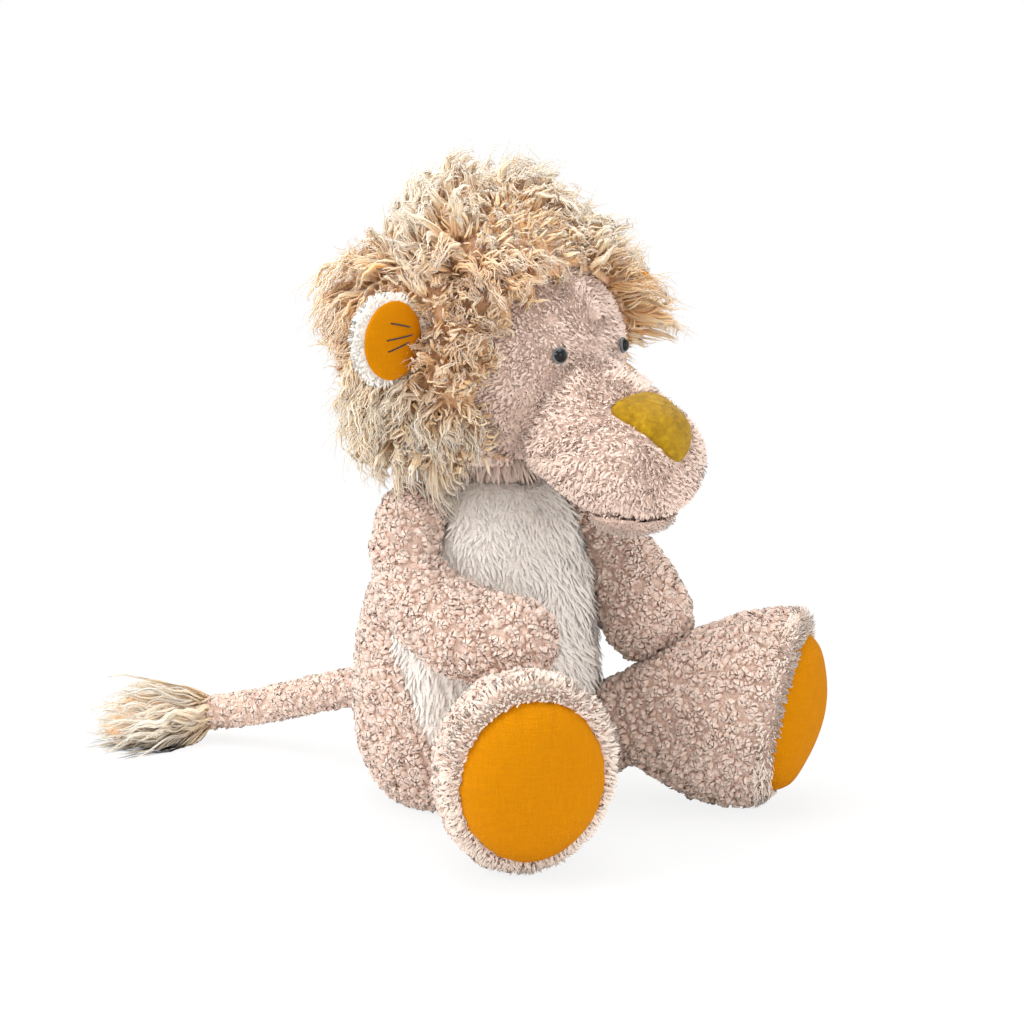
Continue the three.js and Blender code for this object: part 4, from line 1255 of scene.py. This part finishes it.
    @staticmethod
    def cleared(guides, rng):
        """Stops locks where they leave the mane's room, cross the face, or cover the right ear."""
        x, y, z = (guides[..., i] / MM for i in range(3))
        ear = in_room(guides / MM, NEAR_EAR) & (rng.random(len(guides)) > 0.1)[:, None]
        low_side = (abs(x) - y > 116) & (z < 222)
        left_side = (x - y > 107 + 0.8 * np.clip(222 - z, 0, 15)) & (z < 232)
        face = (np.hypot(x / 45, (z - 213) / 50) < 1) & (y < -50)
        throat = (y < -24) & (abs(x) < 42) & (z < 191)
        over_arm = (abs(x) > 26) & (abs(x) < 76) & (y < 14)
        floor = 177 - 12 * over_arm - 14 * over_arm * share(-y, 0, 25) * (abs(x) > 34)
        hanging = z < floor + rng.uniform(-4, 6, (len(guides), 1))
        far_ear = in_room(guides / MM, FAR_EAR)
        guides, left = stopped(guides, ear | far_ear | low_side | left_side | face | throat | hanging)
        return guides, left & has_room(guides)

    @staticmethod
    def strands(guides, ups, lay, rng):
        """Each lock is soft wavy ribbons with finer strands round them."""
        count, points, _ = guides.shape
        aside = np.cross(ups, lay)
        long = np.linalg.norm(np.diff(guides, axis=1), axis=2).sum(1)
        off_level = share(abs(guides[:, -1, 2] / MM - 245), 22, 52)
        tone = 0.28 + 0.62 * off_level + 0.18 * drift(guides[:, 0], 20 * MM, rng)[:, 0]
        tone = tone + rng.normal(0, 0.08, count)
        turns = np.tile(aside, (STRAND_COPIES, 1))
        body = np.tile(np.clip(long / (26 * MM), 0.6, 1.1), STRAND_COPIES)
        for name, (stations, thickness, flat, apart, wavy) in STRANDS.items():
            pick = np.linspace(0, points - 1, stations)
            under = np.minimum(np.floor(pick).astype(int), points - 2)
            past = (pick - under)[None, :, None]
            base = guides[:, under] * (1 - past) + guides[:, under + 1] * past
            t = np.linspace(0, 1, stations)[None, :, None]
            paths, tones = [], []
            for _ in range(STRAND_COPIES):
                off = lay * rng.normal(0, apart, (count, 1)) + aside * rng.normal(0, apart, (count, 1))
                stray = drift(base.reshape(-1, 3), 11 * MM, rng).reshape(base.shape) * t * wavy
                path = base - (base - base[:, :1]) * (rng.uniform(0.0, 0.25, (count, 1, 1)) * t)
                if name == "mane_strands":
                    path = path + (path - MANE_MIDDLE) * rng.uniform(-0.03, 0.1, (count, 1, 1)) * t**1.5
                paths.append(path + (off[:, None] * (1 - 0.75 * t) + stray) * MM)
                tones.append(np.clip(tone + rng.normal(0, 0.1, count), 0.05, 0.95))
            paths, tones = np.concatenate(paths), np.concatenate(tones)
            kept = np.flatnonzero(has_room(paths))
            for half, part in zip(SIDES, np.array_split(kept[np.argsort(paths[kept, 0, 0])], 2)):
                wide = tapered(len(part), stations, thickness * MM, rng, full=0.35, tip=0.15)
                wide = wide * body[part, None]
                piece = tubes(f"{name}_{half}", paths[part], wide, wide * flat, turns[part], tones[part],
                              spread=0.08)
                finished(piece, *MANE_HAIR)


# The ear lining's half widths and depth, and each stitch's start, bend and end on it, in mm
LINING = (18.5, 19, 3.2)
LINING_AHEAD = 4.6
STITCHES = (
    ((-4, 9), (1, 8), (10, 5.5)),
    ((-7, 1), (2, 1.6), (11.5, 2)),
    ((-6, -4.5), (-1, -3.4), (9, -1)),
)


class LION_OT_ears(bpy.types.Operator):
    """Makes the round ears: white pile behind, and linen in front."""

    bl_idname = "lion.ears"
    bl_label = "Ears"

    def execute(self, context):
        for name, side in SIDES.items():
            body = f"ear_{name}"
            middle = np.array([side * 83.62, -22.0, 245.0]) * MM
            back = stuffed(f"ear_cover_{name}", [f"ear_back_{name}", f"ear_lining_{name}"], voxel=1.5 * MM,
                           inset=1.0 * MM, rounds=6)
            finished(back, body, "cream_plush", "cream_ground", nodes=[f"ear_back_{name}"], fill=0.5)
            lining = sphere(f"ear_linen_{name}", 48, 24)
            lining.data.transform(Matrix.Diagonal((*(size * MM for size in LINING), 1)))
            woven(lining, threes(lining.data.vertices, "co") / MM)
            place = Matrix.Translation(Vector(middle) + Vector((0, -LINING_AHEAD * MM, 0)))
            lining.data.transform(place @ Matrix.Rotation(math.pi / 2, 4, "X"))
            smooth_shaded(lining)
            finished(lining, body, "mustard_linen", "mustard_linen", nodes=[f"ear_lining_{name}"], fill=0.4)
            self.stitched(name, side, middle)

            def rim(spots, middle=middle):
                flat = (spots - middle) / (np.array([18.0, 100.0, 18.5]) * MM)
                front = spots[:, 1] < middle[1] - 1.5 * MM
                return ~(front & (np.linalg.norm(flat, axis=1) < 1))

            def outwards(spots, ups, middle=middle):
                return (spots - middle) * np.array([1, 0.4, 1])

            nap(f"ear_pile_{name}", (body, "cream_plush", "ear_nap"), FORMS[f"ear_cover_{name}"],
                np.random.default_rng(51 + side), 1.5 * MM, 4.5 * MM, 0.75 * MM, outwards, spread=0.6,
                keep=rim, lean=(0.5, 1.4), pull=0.4, sway=0.3, swirl=0.4, flat=0.3)
        return {"FINISHED"}

    @staticmethod
    def stitched(name, side, middle):
        """Sews three short dark stitches on an ear's lining."""
        start, bend, end = (np.array(STITCHES) * np.array([-side, 1])).transpose(1, 0, 2)[:, :, None]
        t = np.linspace(0, 1, 9)[:, None]
        flat = start * (1 - t) ** 2 + bend * 2 * t * (1 - t) + end * t**2
        height = np.sqrt(1 - (flat[..., 0] / LINING[0]) ** 2 - (flat[..., 1] / LINING[1]) ** 2) * LINING[2]
        height += 0.3 * np.sin(math.pi * t[:, 0])
        paths = np.stack([flat[..., 0], -LINING_AHEAD - height, flat[..., 1]], -1) * MM + middle
        wide = np.full((3, 9), 0.42 * MM)
        thread = tubes(f"ear_stitches_{name}", paths, wide, wide, np.tile(AHEAD, (3, 1)),
                       np.array([0.3, 0.5, 0.7]), sides=6)
        finished(thread, f"ear_{name}", "mustard_linen", "stitch_thread")


class LION_OT_arms(bpy.types.Operator):
    """Covers the arms in curly plush."""

    bl_idname = "lion.arms"
    bl_label = "Arms"

    def execute(self, context):
        sizes = context.scene.lion_sizes
        for name, side in SIDES.items():
            covered(f"arm_form_{name}", f"arm_plush_{name}", f"arm_{name}", f"arm_cover_{name}", 0.8)
            curled(f"arm_curls_{name}", FORMS[f"arm_form_{name}"], sizes, 61 + side,
                   ["torso_form", f"leg_form_{name}"], f"arm_{name}")
        return {"FINISHED"}


# How far a leg is splayed and its foot tilted, and lengths of the leg in mm
SPLAY, TILT = math.radians(31), math.radians(9)
LEG_LENGTH = 100
FOOT_RADIUS = 51
FOOT_DEPTH = 7


def pad_frame(side):
    """A sole's middle, its outward way, its upward way and the way across it."""
    ahead = np.array([side * math.sin(SPLAY), -math.cos(SPLAY), 0.0])
    outward = ahead * math.cos(TILT) - UP * math.sin(TILT)
    rise = UP * math.cos(TILT) + ahead * math.sin(TILT)
    hip = np.array([side * 40.15, -41.57, 30.0]) * MM
    middle = hip + ahead * LEG_LENGTH * MM
    middle[2] = (0.15 * FOOT_RADIUS - 0.5 + 0.93 * FOOT_RADIUS) * MM
    return middle - rise * 4.5 * MM, outward, rise, np.cross(rise, outward)


class LION_OT_legs(bpy.types.Operator):
    """Covers the legs in curly plush, with paler combed pile round each sole."""

    bl_idname = "lion.legs"
    bl_label = "Legs"

    def execute(self, context):
        sizes = context.scene.lion_sizes
        for name, side in SIDES.items():
            middle, outward, rise, across = pad_frame(side)
            covered(f"leg_form_{name}", f"leg_plush_{name}", f"leg_{name}", f"leg_cover_{name}", 0.8)
            skin = FORMS[f"leg_form_{name}"]

            def behind(spots):
                return (spots - middle) @ outward <= -FOOT_DEPTH * MM

            def front(spots):
                rays = spots - middle
                far = np.hypot(rays @ across / (34.5 * MM), rays @ rise / (40.5 * MM))
                return ~behind(spots) & (far > 0.98)

            def from_pad(spots, ups):
                return (spots - middle) - ((spots - middle) @ outward)[:, None] * outward * 1.6

            curled(f"leg_curls_{name}", skin, sizes, 71 + side, ["torso_form", f"arm_form_{name}"],
                   f"leg_{name}", keep=behind)
            nap(f"foot_rim_{name}", (f"leg_{name}", "taupe_boucle", "rim_nap"), skin,
                np.random.default_rng(75 + side), 1.6 * MM, 7 * MM, 0.75 * MM, from_pad, spread=0.45,
                keep=front, lean=(0.4, 1.35), pull=0.5, swirl=0.3, flat=0.3)
        return {"FINISHED"}


# A sole's half widths and thickness in mm, and its puckers: how many round the edge, and how deep
SOLE = np.array([34.7, 40.9, 18.0])
PUCKERS = ((7, 0.5), (13, 0.7), (23, 0.8), (34, 0.6))


class LION_OT_soles(bpy.types.Operator):
    """Makes the stuffed linen soles, puckered at their seams."""

    bl_idname = "lion.soles"
    bl_label = "Soles"

    def execute(self, context):
        for name, side in SIDES.items():
            middle, outward, rise, across = pad_frame(side)
            rng = np.random.default_rng(81 + side)
            piece = sphere(f"linen_sole_{name}", 128, 64)
            spots = threes(piece.data.vertices, "co")
            spots[:, 2] = np.where(spots[:, 2] < 0, spots[:, 2] * 0.15, spots[:, 2])
            ahead = spots[:, 2] > 0
            turn = np.arctan2(spots[:, 1], spots[:, 0])
            edge = share(np.linalg.norm(spots[:, :2], axis=1), 0.55, 1) ** 2
            pucker = sum(depth * np.sin(beats * turn + rng.uniform(0, 6.3)) for beats, depth in PUCKERS)
            pucker = pucker * edge
            gathers = 0.8 + 0.7 * np.clip(-np.cos(turn - side * 0.6), 0, 1)
            spots = spots * SOLE
            spots[:, 2] += 0.9 * pucker * gathers * ahead
            spots[:, :2] *= (1 - 0.012 * pucker)[:, None]
            spots[:, 2] += np.sin(spots[:, 0] * 0.11 + 1.3) * np.sin(spots[:, 1] * 0.09 + side) * 0.7 * ahead
            woven(piece, spots)
            moved(piece, (spots * MM) @ np.stack([across, rise, outward]) + middle)
            smooth_shaded(piece)
            finished(piece, f"leg_{name}", "mustard_linen", "mustard_linen", nodes=[f"sole_{name}"], fill=0.9)
        return {"FINISHED"}


# The tuft's first and last point in mm, its stations, its locks and the strands in each
TUFT_ROOT = np.array([-25.0, 179.2, 14.0])
TUFT_END = np.array([-77.0, 200.0, 12.0])
TUFT_STATIONS = 13
TUFT_LOCKS = 240
TUFT_STRANDS = 4


class LION_OT_tail(bpy.types.Operator):
    """Covers the tail in short curls and ties on its tuft of long hair."""

    bl_idname = "lion.tail"
    bl_label = "Tail"

    def execute(self, context):
        sizes = context.scene.lion_sizes
        covered("tail_form", "tail_plush", "tail", "tail_cover", 0.7)
        curled("tail_curls", FORMS["tail_form"], sizes, 91, ["torso_form"], "tail", height=0.7)
        root = stuffed("tuft_root", ["tail_tuft"], voxel=1.8 * MM, inset=0.0, rounds=6)
        low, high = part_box("tail_tuft")
        middle = np.array((low + high) / 2)
        moved(root, middle + (FORMS["tuft_root"].spots - middle) * 0.72)
        finished(root, "tail", "mane_mohair", "mane_ground", nodes=["tail_tuft"])
        rng = np.random.default_rng(92)
        spin = rng.uniform(0, 2 * math.pi, TUFT_LOCKS)[:, None]
        way = unit(TUFT_END - TUFT_ROOT)
        one = unit(np.cross(way, UP))
        ring = one * np.cos(spin) + np.cross(one, way) * np.sin(spin)
        spots = TUFT_ROOT * MM + ring * rng.uniform(1, 7, (TUFT_LOCKS, 1)) * MM
        lay = unit(way + rng.normal(0, 0.12, ring.shape))
        long = sizes.tuft_length * rng.uniform(0.6, 1.25, TUFT_LOCKS)
        locks = grown(spots, ring, lay, long, rng, TUFT_STATIONS, lean=(1.15, 1.7), sway=0.5, turns=2.2,
                      fall=0.15)
        t = np.linspace(0, 1, TUFT_STATIONS)[None, :, None]
        off = rng.normal(0, 1.3 * MM, (TUFT_STRANDS, TUFT_LOCKS, 1, 3)) * (1 - 0.6 * t)
        stray = drift(locks.reshape(-1, 3), 14 * MM, rng).reshape(locks.shape) * t * 1.5 * MM
        paths = (locks + off + stray).reshape(-1, TUFT_STATIONS, 3)
        ring = np.tile(ring, (TUFT_STRANDS, 1))
        tones = np.tile(rng.uniform(0.8, 0.98, TUFT_LOCKS), TUFT_STRANDS)
        kept = has_room(paths)
        thick = tapered(kept.sum(), TUFT_STATIONS, 1.15 * MM, rng, full=0.35, tip=0.15)
        piece = tubes("tail_tuft_hair", paths[kept], thick, thick * 0.45, ring[kept], tones[kept],
                      spread=0.05)
        finished(piece, "tail", "mane_mohair", "mane_hair")
        return {"FINISHED"}


class LION_OT_inside(bpy.types.Operator):
    """Gives the fillings, the pellet bag and the washers their finish."""

    bl_idname = "lion.inside"
    bl_label = "Inside"

    def execute(self, context):
        for name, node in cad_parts.items():
            if "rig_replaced" in node or node.hide_render:
                continue
            if "stuffing" in name:
                finish = "fibre_filling"
            elif "washer" in name:
                finish = "washer_nylon"
            elif name == "pellet_bag":
                finish = "pellet_bag_cotton"
            else:
                raise RuntimeError(f"{name} has no finish")
            node.data.materials.clear()
            node.data.materials.append(MATERIALS[finish])
        return {"FINISHED"}


class LION_PT_panel(bpy.types.Panel):
    """Lists the lion's pieces, sizes and colours."""

    bl_idname = "LION_PT_panel"
    bl_label = "Plush lion"
    bl_space_type = "VIEW_3D"
    bl_region_type = "UI"
    bl_category = "Plush lion"

    def draw(self, context):
        for group in (context.scene.lion_sizes, context.scene.lion_colours):
            for name in group.bl_rna.properties.keys():
                if name not in ("rna_type", "name"):
                    self.layout.prop(group, name)
        for operator in OPERATORS:
            self.layout.operator(operator.bl_idname)


OPERATORS = (
    LION_OT_stage,
    LION_OT_forms,
    LION_OT_torso,
    LION_OT_neck,
    LION_OT_head,
    LION_OT_nose,
    LION_OT_eyes,
    LION_OT_mane,
    LION_OT_ears,
    LION_OT_arms,
    LION_OT_legs,
    LION_OT_soles,
    LION_OT_tail,
    LION_OT_inside,
)


def register():
    for item in (LionSizes, LionColours, *OPERATORS, LION_PT_panel):
        bpy.utils.register_class(item)
    bpy.types.Scene.lion_sizes = bpy.props.PointerProperty(type=LionSizes)
    bpy.types.Scene.lion_colours = bpy.props.PointerProperty(type=LionColours)


def unregister():
    del bpy.types.Scene.lion_colours
    del bpy.types.Scene.lion_sizes
    for item in (LION_PT_panel, *reversed(OPERATORS), LionColours, LionSizes):
        bpy.utils.unregister_class(item)


def main():
    register()
    scene = bpy.context.scene
    make_materials(scene.lion_sizes, scene.lion_colours)
    for operator in OPERATORS:
        group, name = operator.bl_idname.split(".")
        getattr(getattr(bpy.ops, group), name)()


if __name__ == "__main__":
    main()
